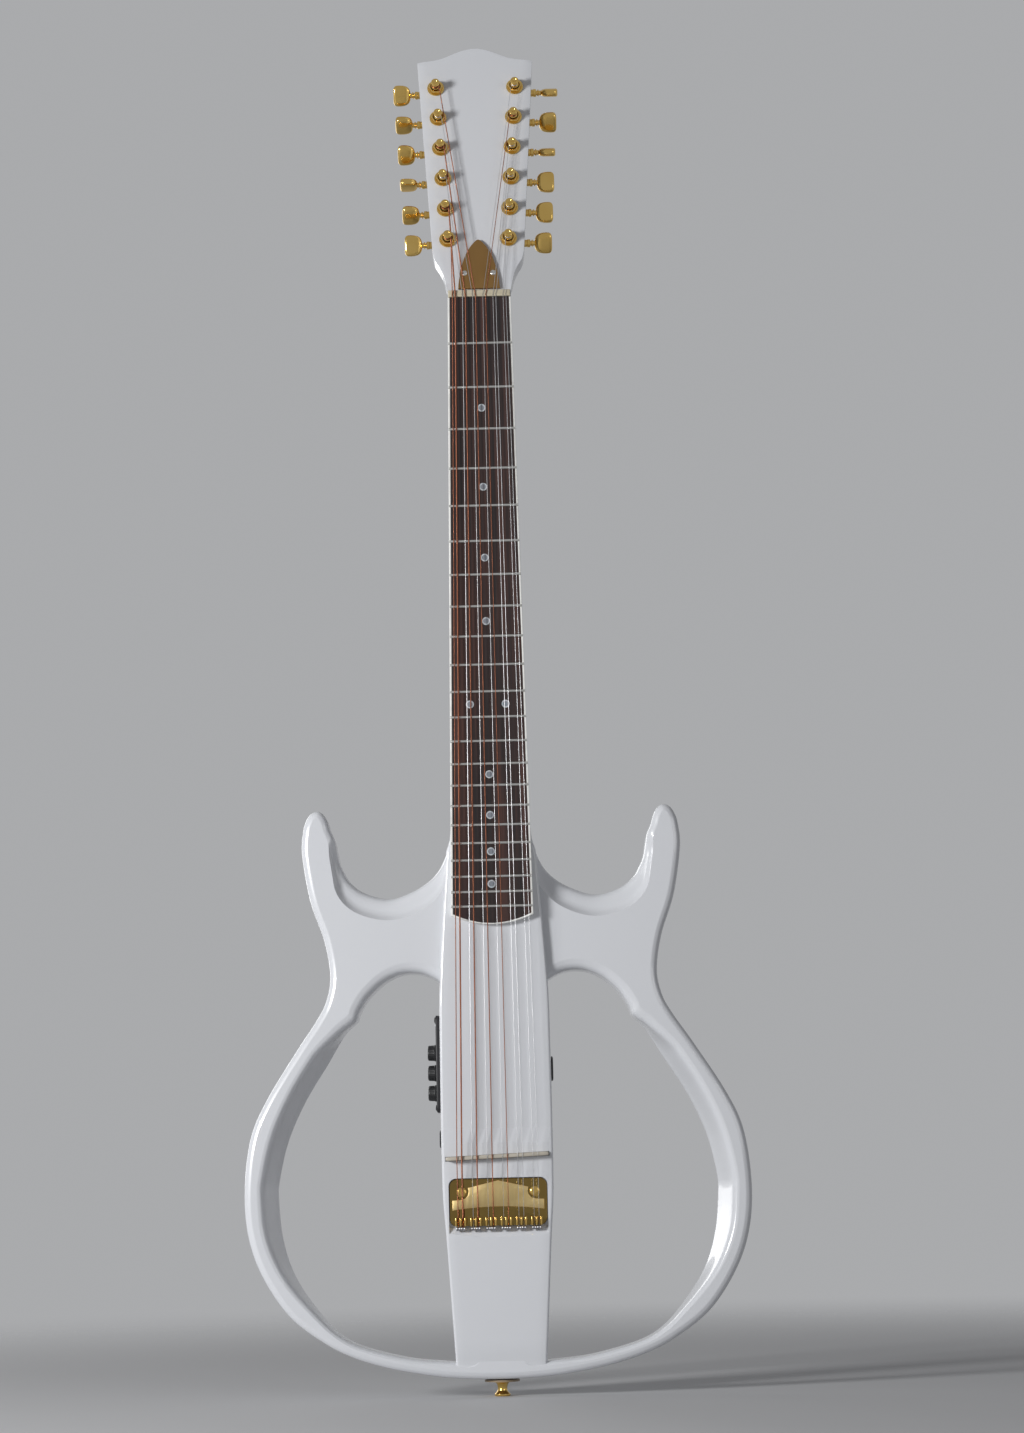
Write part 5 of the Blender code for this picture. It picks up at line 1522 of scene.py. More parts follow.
@dataclass
class StringSet:
    """Twelve strings from the tailpiece to their posts (mm)."""

    scale: Scale
    bridge: Bridge
    kinds: str = "wwpwpwpwpppp"
    wound: tuple[float, ...] = (0.69, 1.19, 0.99, 0.76, 0.58)
    plain: tuple[float, ...] = (0.46, 0.36, 0.30, 0.36, 0.36, 0.30, 0.30)
    ball_z: float = 123.0
    ball_y: float = -29.4
    ball_radius: float = 1.7
    ball_length: float = 2.9
    nut_top: float = -32.5
    lift: float = 0.22
    post_height: float = 6.8
    post_waist: float = 2.0
    bend: float = 1.5
    coil_drop: float = 1.9
    coil_turns: tuple[float, float] = (1.6, 4.5)
    ball: Rows = ((0.45, -1.0), (0.9, -1.0), (1.0, -0.75), (0.82, -0.2), (0.82, 0.2), (1.0, 0.75), (0.9, 1.0),
                  (0.45, 1.0))

    def runs(self) -> list[StringRun]:
        """Every string, bass side first.

        Returns:
            The strings.
        """
        wound, plain = iter(self.wound), iter(self.plain)
        runs = []
        for number, kind in enumerate(self.kinds):
            course, second = divmod(number, 2)
            step, nudge = course - 2.5, 1 if second else -1
            bass = number < len(self.kinds) // 2
            diameter = next(wound if kind == "w" else plain)
            runs.append(StringRun(diameter / 2, kind == "w", Side.BASS if bass else Side.TREBLE,
                                  number if bass else len(self.kinds) - 1 - number,
                                  step * self.scale.nut_spacing + nudge * self.scale.nut_pair,
                                  step * self.scale.saddle_spacing + nudge * self.scale.saddle_pair))
        return runs

    def route(self, run: StringRun, post: Matrix) -> list[Vector]:
        """The string's points from its ball end to its post, softly bent at the saddle and the nut.

        Args:
            run: The string.
            post: Its post's frame.

        Returns:
            Its points; the five before the last lie on the bend over the nut.
        """
        bridge = self.bridge
        slant = bridge.saddle_z + run.saddle_x * math.tan(bridge.saddle_slant)
        knots = [mm(run.saddle_x, self.ball_y, self.ball_z),
                 mm(run.saddle_x, bridge.saddle_top - self.lift - run.radius, slant),
                 Vector((run.nut_x * MM, (self.nut_top - self.lift - run.radius) * MM, NUT_Z)),
                 post @ mm(-run.side.value * (self.post_waist + run.radius + 0.1), 0, self.post_height)]
        points = [knots[0]]
        for before, knot, after in zip(knots, knots[1:], knots[2:]):
            start = knot + (before - knot).normalized() * self.bend * MM
            end = knot + (after - knot).normalized() * self.bend * MM
            points += [start.lerp(knot, t).lerp(knot.lerp(end, t), t) for t in spread(1.0, 4)]
        return points + [knots[-1]]

    def coil(self, run: StringRun) -> list[Vector]:
        """The turns round the post's waist, in the post's own frame.

        Args:
            run: The string.

        Returns:
            The coil's points.
        """
        radius = self.post_waist + run.radius + 0.05
        fewest, most = self.coil_turns
        turns = min(most, max(fewest, self.coil_drop / (2 * run.radius)))
        start = math.pi if run.side is Side.TREBLE else 0.0
        return [polar(radius, start - run.side.value * TURN * turns * share,
                      self.post_height - 2.06 * run.radius * turns * share) * MM
                for share in spread(1.0, int(turns * 20))]

    def build(self, palette: Palette, posts: Posts) -> None:
        """Make the strings, their ball ends and their windings on the posts.

        Args:
            palette: The finishes.
            posts: The string posts' frames.
        """
        balls = bmesh.new()
        for number, run in enumerate(self.runs(), 1):
            post = posts[run.side, run.rank]
            metal = palette.wound if run.wound else palette.plain
            bm, coil = bmesh.new(), bmesh.new()
            tube(bm, self.route(run, post), run.radius * MM, 12)
            finished(f"string_{number}", bm, metal, Slot.STRING)
            tube(coil, [post @ point for point in self.coil(run)], run.radius * MM)
            finished(f"string_{number}_turns", coil, metal, Slot.STRING,
                     f"{run.side.label}_tuner_post_{run.rank + 1}")
            place = Matrix.Translation(mm(run.saddle_x, self.ball_y, self.ball_z)) @ SIDEWAYS
            turned(balls, [(self.ball_radius * r, self.ball_length / 2 * h) for r, h in self.ball], place, 24,
                   joined=True, unit=MM)
        finished("ball_ends", balls, palette.rod_steel, Slot.STRING, replaces=("strings",))


@dataclass
class Nut:
    """The string nut, slotted for every string (mm)."""

    half: float = 23.8
    thickness: float = 5.4
    foot: float = -25.3
    top: float = -32.5
    land: float = 1.2
    back_drop: float = 1.2
    edge: float = 0.5
    clearance: float = 0.12
    overrun: tuple[float, float] = (3.0, 10.0)

    def slot(self, run: StringRun, strings: StringSet, post: Matrix) -> Mesh:
        """The groove of one string.

        Args:
            run: The string.
            strings: The strings.
            post: Its post's frame.

        Returns:
            The shape to cut away.
        """
        points = strings.route(run, post)
        bend, end = points[-6:-1], points[-1]
        before = bend[0] + (bend[0] - bend[-1]).normalized() * self.overrun[0] * MM
        after = bend[-1] + (end - bend[-1]).normalized() * self.overrun[1] * MM
        groove = bmesh.new()
        tube(groove, [before, *bend, after], (run.radius + strings.lift + self.clearance) * MM, 16)
        return groove

    def build(self, palette: Palette, strings: StringSet, posts: Posts) -> None:
        """Make the piece.

        Args:
            palette: The finishes.
            strings: The strings.
            posts: The string posts' frames.
        """
        profile = ((self.foot, 0.0), (self.top, 0.0), (self.top, self.land),
                   (self.top + self.back_drop, self.thickness), (self.foot, self.thickness))
        bm = capped([[Vector((x * MM, y * MM, NUT_Z + z * MM)) for y, z in profile]
                     for x in (-self.half, self.half)])
        rounded(bm, bm.edges[:], self.edge * MM)
        bm = carved(bm, (self.slot(run, strings, posts[run.side, run.rank]) for run in strings.runs()))
        finished("slotted_nut", bm, palette.bone, Slot.BONE, replaces=("nut",))


@dataclass
class Saddle:
    """The thin slanted saddle with rounded ends (mm)."""

    bridge: Bridge
    stations: int = 12
    inner_share: float = 0.95
    end_drop: float = 0.8
    edge: float = 0.9

    def build(self, palette: Palette) -> None:
        """Make the piece.

        Args:
            palette: The finishes.
        """
        bridge = self.bridge
        half, thick = bridge.saddle_length / 2, bridge.saddle_thickness / 2
        ends = [half - thick * (1 - math.cos(a)) for a in spread(QUARTER, 6)[:-1]]
        inner = [half * k / self.stations * self.inner_share for k in range(1 - self.stations, self.stations)]
        foot = bridge.saddle_top + bridge.saddle_depth
        rings = []
        for x in sorted({*ends, *(-end for end in ends), *inner}):
            out = max(0.0, abs(x) - half + thick)
            wide = max(0.05, math.sqrt(max(0.0, thick ** 2 - out ** 2)))
            drop = bridge.saddle_crown * (x / half) ** 2 + self.end_drop * (out / thick) ** 2
            top = bridge.saddle_top + drop
            radius = min(self.edge, wide)
            arc = [(top + radius * (1 - math.sin(a)), wide - radius * (1 - math.cos(a)))
                   for a in spread(QUARTER, 4)]
            profile = [(foot, wide)] + arc + [(y, -z) for y, z in reversed(arc)] + [(foot, -wide)]
            rings.append([bridge.saddle_frame() @ mm(x, y, z) for y, z in profile])
        finished("slanted_saddle", capped(rings), palette.worn_bone, Slot.BONE, replaces=("saddle",))


def rounded_outline(half_x: float, half_y: float, radius: float, steps: int = 6) -> Rows:
    """A rectangle's outline with rounded corners.

    Args:
        half_x: Half its width.
        half_y: Half its height.
        radius: The corners' radius.
        steps: How many spans each corner has.

    Returns:
        Its (x, y) points about its middle.
    """
    points = []
    for quarter, (sx, sy) in enumerate(((1, 1), (-1, 1), (-1, -1), (1, -1))):
        for k in range(steps + 1):
            a = QUARTER * (quarter + k / steps)
            points.append((sx * (half_x - radius) + radius * math.cos(a),
                           sy * (half_y - radius) + radius * math.sin(a)))
    return tuple(points)


@dataclass
class Tailpiece:
    """The gold plate in the block's pocket, with its bare panel, comb and screws (mm)."""

    bridge: Bridge
    panel: Rows = (
        (33.8, 136.4), (33.8, 143.8), (28.2, 144.0), (24.4, 145.0), (22.3, 147.4), (21.7, 150.0),
        (22.4, 152.8), (11.0, 155.4), (0.0, 157.9))
    panel_dip: float = 2.4
    panel_rise: float = 0.35
    tab_offsets: tuple[float, ...] = (-3.4, 0.0, 3.4)
    tab_width: float = 1.3
    tab_height: float = 6.2
    tab_face: float = -32.9
    screw_x: float = 27.0
    screw_z: float = 149.5
    screw: Screw = Screw(3.8 * MM, 1.4 * MM)
    rim: float = 0.5
    panel_rim: float = 0.3
    panel_sink: float = 0.1
    foot_steps: int = 6

    def panel_outline(self) -> list[tuple[float, float]]:
        """The bare panel's outline in metres, its foot dipping at both ends.

        Returns:
            Its (x, z) points.
        """
        edge, low = self.panel[0]
        foot = []
        for k in range(1 - self.foot_steps, self.foot_steps):
            share = k / self.foot_steps
            foot.append((edge * share, low + self.panel_dip * (1 - share ** 2)))
        left = [(-x, z) for x, z in reversed(self.panel[:-1])]
        return [(x * MM, z * MM) for x, z in list(self.panel) + left + foot]

    def build(self, palette: Palette, strings: StringSet) -> None:
        """Make the plate, the panel, the comb and the screws.

        Args:
            palette: The finishes.
            strings: The strings.
        """
        bridge = self.bridge
        front = bridge.plate_back - bridge.plate_thickness
        low, high = bridge.plate_low, bridge.plate_high
        plate, panel, comb, heads = (bmesh.new() for _ in range(4))
        outline = rounded_outline(bridge.plate_half * MM, (high - low) / 2 * MM, bridge.plate_corner * MM)
        slab(plate, outline, -bridge.plate_back * MM, -front * MM,
             Matrix.Translation((0, 0, (low + high) / 2 * MM)) @ UPRIGHT, self.rim * MM)
        finished("tailpiece_plate_look", plate, palette.mirror_gold, Slot.GOLD, replaces=("tailpiece_plate",))
        slab(panel, self.panel_outline(), -(front + self.panel_sink) * MM, (-front + self.panel_rise) * MM,
             UPRIGHT, self.panel_rim * MM, 2)
        finished("tailpiece_panel", panel, palette.satin_gold, Slot.GOLD)
        half = self.tab_width / 2
        runs = strings.runs()
        for first, second in zip(runs[::2], runs[1::2]):
            for offset in self.tab_offsets:
                x = (first.saddle_x + second.saddle_x) / 2 + offset
                block(comb, mm(x - half, self.tab_face, low),
                      mm(x + half, front + self.panel_rim, low + self.tab_height), edge=self.panel_rim * MM)
        finished("tailpiece_comb", comb, palette.gold, Slot.GOLD)
        for x in (-self.screw_x, self.screw_x):
            self.screw.add(heads, mm(x, front, self.screw_z), Vector((0, -1, 0)))
        finished("tailpiece_screws", heads, palette.gold, Slot.GOLD)


@dataclass
class RodCover:
    """The arched cover over the truss rod's end, with two screws (mm on the headstock's face)."""

    base: float = 7.0
    thickness: float = 2.2
    shape: Rows = (
        (0.0, 16.0), (7.0, 15.4), (15.0, 14.2), (22.0, 12.3), (29.0, 9.8), (35.5, 6.2), (39.8, 2.6),
        (41.4, 0.7))
    screw_x: float = 11.0
    screw_rise: float = 13.0
    screw: Screw = Screw(2.2 * MM, 0.9 * MM)
    gap: float = 0.3
    rim: float = 0.5

    def build(self, palette: Palette) -> None:
        """Make the plate and its screws.

        Args:
            palette: The finishes.
        """
        plate, heads = bmesh.new(), bmesh.new()
        curve = flowing([mm(half, self.base + rise) for rise, half in self.shape], steps=4)
        outline = [(p.x, p.y) for p in curve] + [(-p.x, p.y) for p in reversed(curve)]
        face = self.gap + self.thickness
        slab(plate, outline, self.gap * MM, face * MM, HEAD_FRAME, self.rim * MM)
        finished("rod_cover_plate", plate, palette.bronze, Slot.BRONZE, replaces=("truss_rod_cover",))
        for x in (-self.screw_x, self.screw_x):
            seat = HEAD_FRAME @ mm(x, self.base + self.screw_rise, face)
            self.screw.add(heads, seat, HEAD_FRAME.col[2].xyz)
        finished("rod_cover_screws", heads, palette.nickel, Slot.BRONZE)


@dataclass
class TunerSizes:
    """The sizes that all twelve tuners share (mm, in the post's frame)."""

    inset: float = 23.4
    spread: float = 1.5
    start: float = 49.8
    spacing: float = 26.2
    count: int = 6
    post: float = 3.3
    waist: float = 2.0
    tip: float = 11.0
    washer: float = 6.6
    washer_top: float = 1.3
    hexagon: float = 5.6
    hex_height: float = 3.0
    sleeve: float = 4.7
    bore: float = 3.9
    key_rise: float = 6.4
    key_height: float = -22.0
    teeth: int = 14
    wheel: float = 4.2
    addendum: float = 0.5
    dedendum: float = 0.6
    wheel_thickness: float = 3.0
    worm: float = 2.2
    worm_crest: float = 0.45
    worm_root: float = 0.8
    half_width: float = 8.4
    top: float = 11.2
    foot: float = -7.4
    front: float = -15.3
    back: float = -26.9
    neck: float = 3.1
    neck_reach: float = 17.0
    shaft: float = 1.9
    tail: float = 1.15
    button_start: float = 20.5
    button_width: float = 13.4
    button_height: float = 16.5
    button_thickness: float = 6.5
    button_square: float = 0.62
    button_shares: Rows = (
        (0.0, 0.34), (0.012, 0.44), (0.05, 0.6), (0.12, 0.76), (0.25, 0.9), (0.45, 0.98), (0.65, 1.0),
        (0.82, 0.985), (0.91, 0.92), (0.965, 0.8), (0.99, 0.68), (1.0, 0.52))
    wall: float = 2.0
    play: float = 0.3
    bass_turns: tuple[float, ...] = (20, 63, 92, 52, 70, 35)
    treble_turns: tuple[float, ...] = (40, 10, 10, 120, 52, 120)

    def frame(self, side: Side, rank: int) -> Matrix:
        """A post's frame: X across, Y up the headstock, Z out of its face."""
        place = mm(side.value * (self.inset + self.spread * rank), self.start + self.spacing * rank, 0.0)
        return HEAD_FRAME @ Matrix.Translation(place)

    def frames(self) -> Posts:
        """Every post's frame."""
        return {(side, rank): self.frame(side, rank) for side in Side for rank in range(self.count)}

    @property
    def pitch(self) -> float:
        """The worm's pitch."""
        return math.pi * 2 * self.wheel / self.teeth


@dataclass
class Tuner:
    """One tuner: a closed gear housing with its bushing and nut, a string post and a thumb key."""

    sizes: TunerSizes
    side: Side
    rank: int

    def hex_nut(self, corners: int = 6, steps: int = 4) -> Mesh:
        """The hollow hex nut on the washer, in millimetres.

        Args:
            corners: How many corners it has.
            steps: How many points each flat has.

        Returns:
            The nut.
        """
        s = self.sizes
        count = corners * steps
        circle = [polar(1.0, a) for a in spread(TURN, count)[:-1]]
        hexagon = [circle[k - k % steps].lerp(circle[(k - k % steps + steps) % count], k % steps / steps)
                   for k in range(count)]
        low, high = s.washer_top, s.washer_top + s.hex_height
        rows = ((circle, s.bore, low), (hexagon, s.hexagon, low), (hexagon, s.hexagon, high - 0.8),
                (circle, s.hexagon * 0.86, high), (circle, s.bore + 0.25, high),
                (circle, s.bore, high - 0.25), (circle, s.bore, low))
        nut = bmesh.new()
        skin(nut, [[Vector((p.x * radius, p.y * radius, z)) for p in shape] for shape, radius, z in rows])
        bmesh.ops.remove_doubles(nut, verts=nut.verts, dist=1e-4)
        return nut

    def housing(self) -> Mesh:
        """The gear housing behind the headstock, with its washer and hex nut in front, in millimetres.

        Returns:
            The housing.
        """
        s = self.sizes
        along = (Matrix.Translation((0, s.key_rise, s.key_height))
                 @ Matrix.Rotation(self.side.value * QUARTER, 4, "Y"))
        neck = bmesh.new()
        turned(neck, [(0, 6.4), (s.neck + 1.0, 6.4), (s.neck + 1.0, 9.4), (s.neck + 0.4, 9.9),
                      (s.neck - 0.3, 10.4), (s.neck - 0.3, 14.4), (s.neck, 14.8),
                      (s.neck, s.neck_reach - 0.3), (s.neck - 0.3, s.neck_reach), (0, s.neck_reach)],
               along, 28)
        case = box((-s.half_width, s.foot, s.back), (s.half_width, s.top, s.front), edge=1.5, segments=4)
        room = box((s.wall - s.half_width, s.foot + s.wall, s.back + 1.2),
                   (s.half_width - s.wall, s.top - s.wall, s.front - 2.6))
        made = carved(carved(case, [neck], "UNION"), [
            room, rod(s.bore, s.front - 6.0, s.tip), rod(s.shaft + s.play, 0, 2 * s.neck_reach, along),
            rod(s.tail + s.play, -2 * s.half_width, 0, along)])
        lid = s.back + 0.1
        turned(made, [(0, lid), (5.4, lid), (5.2, lid - 0.35), (0, lid - 0.45)],
               Matrix.Translation((0, -0.6, 0)))
        turned(made, [(s.bore, s.front - 0.3), (s.sleeve, s.front - 0.3), (s.sleeve, 0.35),
                      (s.washer - 0.3, 0.3), (s.washer, 0.6), (s.washer, 0.95),
                      (s.washer - 0.3, s.washer_top), (s.bore, s.washer_top)], sides=40, joined=True)
        add_to(made, self.hex_nut())
        return made

    def post(self) -> Mesh:
        """The string post with its toothed wheel, in millimetres.

        Returns:
            The post.
        """
        s = self.sizes
        bm = bmesh.new()
        half = s.wheel_thickness / 2
        foot = s.key_height - half - 0.6
        turned(bm, [(0, foot), (s.post, foot), (s.post, 4.4), (s.post - 0.2, 4.7), (s.waist + 0.1, 5.0),
                    (s.waist, 5.3), (s.waist, 8.6), (s.waist + 0.1, 8.9), (s.post - 0.2, 9.1),
                    (s.post, 9.35), (s.post, 10.1), (s.post - 0.25, 10.55), (s.post - 0.9, 10.85),
                    (1.6, s.tip), (1.2, 10.7), (0, 10.6)], sides=40)
        twist = s.pitch / (TURN * s.worm) / s.wheel
        rings = []
        for offset in (-half, 0.0, half):
            rings.append([polar(s.wheel + (s.addendum if i % 2 else -s.dedendum),
                                QUARTER + math.pi * i / s.teeth + twist * offset, s.key_height + offset)
                          for i in range(2 * s.teeth)])
        add_to(bm, capped(rings))
        return bm

    def worm(self, steps: int = 20) -> Mesh:
        """The worm's thread along X, in millimetres.

        Args:
            steps: How many steps each turn has.

        Returns:
            The worm.
        """
        s = self.sizes
        bm = bmesh.new()
        reaches = [s.worm + (s.worm_crest if i % 2 else -s.worm_root) for i in range(5)]
        verts = [bm.verts.new(((i - 3) * s.pitch / 2, -reach, 0.0)) for i, reach in enumerate(reaches)]
        edges = [bm.edges.new(pair) for pair in zip(verts, verts[1:])]
        bmesh.ops.spin(bm, geom=verts + edges, cent=(0, 0, 0), axis=(1, 0, 0), angle=TURN,
                       steps=steps, dvec=(s.pitch / steps, 0, 0), use_merge=False)
        bmesh.ops.remove_doubles(bm, verts=bm.verts, dist=s.pitch / 100)
        for way in (-1, 1):
            rim = [edge for edge in bm.edges
                   if edge.is_boundary and way * (edge.verts[0].co.x + edge.verts[1].co.x) > 0]
            tips = fresh_verts(bmesh.ops.extrude_edge_only(bm, edges=rim))
            bmesh.ops.pointmerge(bm, verts=tips, merge_co=(way * s.pitch, 0, 0))
        return bm

    def button(self, sides: int = 28) -> Mesh:
        """The keystone-shaped thumb button, turned about the shaft, in millimetres.

        Args:
            sides: How many sides it has.

        Returns:
            The button.
        """
        s = self.sizes
        turn = (s.bass_turns if self.side is Side.BASS else s.treble_turns)[self.rank]
        spin = Matrix.Rotation(math.radians(turn), 4, "X")
        rings = []
        for along, size in s.button_shares:
            x = self.side.value * (s.button_start + s.button_width * along)
            tall, thick = s.button_height / 2 * size, s.button_thickness / 2 * min(1.0, size + 0.08)
            ring = []
            for a in spread(TURN, sides)[:-1]:
                across, deep = (math.copysign(abs(part) ** s.button_square, part)
                                for part in (math.cos(a), math.sin(a)))
                ring.append(spin @ Vector((x, tall * across, thick * deep)))
            rings.append(ring)
        return capped(rings)

    def key(self) -> Mesh:
        """The worm shaft with its button, in millimetres about the shaft's axis.

        Returns:
            The key.
        """
        s = self.sizes
        bm = bmesh.new()
        worm_end = 1.5 * s.pitch + 0.3
        collar, button_in = s.neck_reach + 0.8, s.button_start + s.button_width / 3
        turned(bm, [(0, -7.4), (s.tail, -7.4), (s.tail, worm_end), (s.shaft, worm_end), (s.shaft, collar),
                    (s.shaft + 0.8, collar + 0.3), (s.shaft + 0.8, collar + 1.1), (s.shaft, collar + 1.4),
                    (s.shaft, button_in), (0, button_in)], SIDEWAYS, 28)
        add_to(bm, self.worm())
        if self.side is Side.BASS:
            bmesh.ops.rotate(bm, verts=bm.verts, cent=(0, 0, 0), matrix=Matrix.Rotation(math.pi, 3, "Y"))
        add_to(bm, self.button())
        return bm

    def build(self, palette: Palette) -> None:
        """Make the three pieces at their place on the headstock.

        Args:
            palette: The finishes.
        """
        s = self.sizes
        unit = s.frame(self.side, self.rank) @ Matrix.Scale(MM, 4)
        shift = Matrix.Translation((0, s.key_rise, s.key_height))
        for part, bm, place in (("housing", self.housing(), STILL), ("post", self.post(), STILL),
                                ("key", self.key(), shift)):
            bmesh.ops.transform(bm, matrix=unit @ place, verts=bm.verts)
            node = f"{self.side.label}_tuner_{part}_{self.rank + 1}"
            finished(node.replace("_tuner", ""), bm, palette.gold, Slot.GOLD,
                     ROOT if part == "housing" else node, (node,))


@dataclass
class Preamp:
    """The control panel on the bass side: bezel, screws, marks, status light and three knobs (mm)."""

    wall: float = -41.2
    thickness: float = 3.2
    y: float = 2.0
    z: float = 245.0
    half_tall: float = 36.0
    half_wide: float = 15.0
    corner: float = 4.0
    screw_inset: float = 3.4
    screw: Screw = Screw(2.2 * MM, 0.9 * MM)
    stem_hole: float = 3.6
    knob_drop: float = 6.5
    knob_spacing: float = 15.0
    light_rise: float = 29.5
    rim: float = 0.7
    knobs: tuple[str, ...] = ("volume_knob", "treble_knob", "bass_knob")
    travel: float = 135.0
    mark_count: int = 7
    mark: Triple = (6.6, 7.2, 0.14)
    lens: Rows = ((0.0, -1.0), (1.1, -1.0), (1.1, 0.2), (0.8, 0.5), (0.0, 0.6))

    def frame(self, rise: float, out: float = 0.0, across: float = 0.0) -> Matrix:
        """A frame on the bezel's wall side: X up, Y back, Z out of the panel."""
        place = Vector((self.wall - out, self.y + across, self.z + rise)) * MM
        return Matrix.Translation(place) @ Matrix.Rotation(-QUARTER, 4, "Y")

    def rise(self, number: int) -> float:
        """A knob's height over the bezel's middle, number 0 being the highest."""
        return self.knob_spacing * ((len(self.knobs) - 1) / 2 - number) - self.knob_drop

    def scale_marks(self) -> Mesh:
        """The short lines round every knob.

        Returns:
            The marks.
        """
        marks = bmesh.new()
        start, end, half = (size * MM for size in self.mark)
        face = self.thickness * MM
        for number in range(len(self.knobs)):
            for angle in spread(2 * self.travel, self.mark_count - 1):
                turn = Matrix.Rotation(math.radians(angle - self.travel), 4, "Z")
                block(marks, (start, -half, face - 0.1 * MM), (end, half, face + 0.03 * MM),
                      self.frame(self.rise(number)) @ turn)
        return marks

    def build(self, palette: Palette) -> None:
        """Make the panel and its knobs.

        Args:
            palette: The finishes.
        """
        bezel, heads, lens = (bmesh.new() for _ in range(3))
        outline = rounded_outline(self.half_tall * MM, self.half_wide * MM, self.corner * MM)
        slab(bezel, outline, 0.0, self.thickness * MM, self.frame(0.0), self.rim * MM)
        bezel = carved(bezel, [rod(self.stem_hole * MM, -0.01, 0.01, self.frame(self.rise(number)))
                               for number in range(len(self.knobs))])
        finished("bezel_panel", bezel, palette.black, Slot.BLACK, replaces=("preamp_bezel",))
        finished("knob_scale_marks", self.scale_marks(), palette.marks, Slot.BLACK)
        for across in (-1, 1):
            for up in (-1, 1):
                place = self.frame(up * (self.half_tall - self.screw_inset), self.thickness,
                                   across * (self.half_wide - self.screw_inset))
                self.screw.add(heads, place.translation, Vector((-1, 0, 0)))
        finished("bezel_screws", heads, palette.black, Slot.BLACK)
        turned(lens, self.lens, self.frame(self.light_rise, self.thickness), 24, unit=MM)
        finished("status_light", lens, palette.lens, Slot.BLACK)
        for number, name in enumerate(self.knobs):
            Knob(name).build(palette, self.frame(self.rise(number), self.thickness), self.thickness)


@dataclass
class Knob:
    """One fluted knob with a pointer line (mm)."""

    name: str
    radius: float = 6.2
    depth: float = 6.2
    stem: float = 3.0
    gap: float = 0.3
    flutes: int = 24
    flute_steps: int = 4
    pointer: Triple = (1.3, 4.1, 0.3)

    def build(self, palette: Palette, place: Matrix, panel: float) -> None:
        """Make the knob and its pointer on the knob's own body.

        Args:
            palette: The finishes.
            place: The knob's frame on the panel's face.
            panel: The panel's thickness.
        """
        r, top = self.radius, self.gap + self.depth
        rows = ((0.0, -panel, 0.0), (self.stem, -panel, 0.0), (self.stem, self.gap, 0.0), (r, self.gap, 0.0),
                (r, self.gap + 0.9, 0.0), (r - 0.3, self.gap + 1.2, 0.0), (r - 0.35, self.gap + 1.5, 0.22),
                (r - 0.55, top - 1.1, 0.22), (r - 0.75, top - 0.7, 0.05), (r - 1.2, top - 0.25, 0.0),
                (r - 2.2, top, 0.0), (0.0, top, 0.0))
        rings = []
        for radius, height, fluting in rows:
            ring = [polar(radius - fluting * (1 + math.cos(self.flutes * a)) / 2, a, height)
                    for a in spread(TURN, self.flute_steps * self.flutes)[:-1]]
            rings.append([place @ (point * MM) for point in ring])
        bm, line = bmesh.new(), bmesh.new()
        skin(bm, rings)
        bmesh.ops.remove_doubles(bm, verts=bm.verts, dist=MERGE)
        bmesh.ops.recalc_face_normals(bm, faces=bm.faces)
        finished(f"{self.name}_grip", bm, palette.knob, Slot.KNOB, self.name, (self.name,))
        start, end, half = self.pointer
        block(line, mm(start, -half, top - 0.3), mm(end, half, top + 0.04), place)
        finished(f"{self.name}_pointer", line, palette.marks, Slot.KNOB, self.name)


@dataclass
class Socket:
    """A round jack socket in the block's side wall (mm)."""

    name: str
    side: Side
    z: float
    radius: float
    bore: float
    length: float
    flange: float
    wall: float = 41.5
    face: float = 1.5

    def build(self, palette: Palette) -> None:
        """Make the socket's body and its metal mouth.

        Args:
            palette: The finishes.
        """
        place = wall_frame(self.side, self.wall, self.z)
        face, mouth, end = self.face, self.bore + 0.8, 2.0 - self.length
        body, ring = bmesh.new(), bmesh.new()
        turned(body, [(0, -self.length), (self.radius, -self.length), (self.radius, 0), (self.flange, 0),
                      (self.flange, 0.5 * face), (self.flange - 0.5, 0.85 * face), (self.flange - 1.4, face),
                      (mouth, face), (mouth, face - 0.6), (self.bore, face - 0.6), (self.bore, end),
                      (0, end)], place, 48, unit=MM)
        finished(f"{self.name}_body", body, palette.black, Slot.BLACK, replaces=(self.name,))
        turned(ring, [(self.bore, face - 0.9), (mouth, face - 0.9), (mouth, face - 0.1),
                      (mouth - 0.15, face), (self.bore + 0.2, face - 0.05), (self.bore, face - 0.3)],
               place, 48, joined=True, unit=MM)
        finished(f"{self.name}_mouth", ring, palette.nickel, Slot.BLACK)


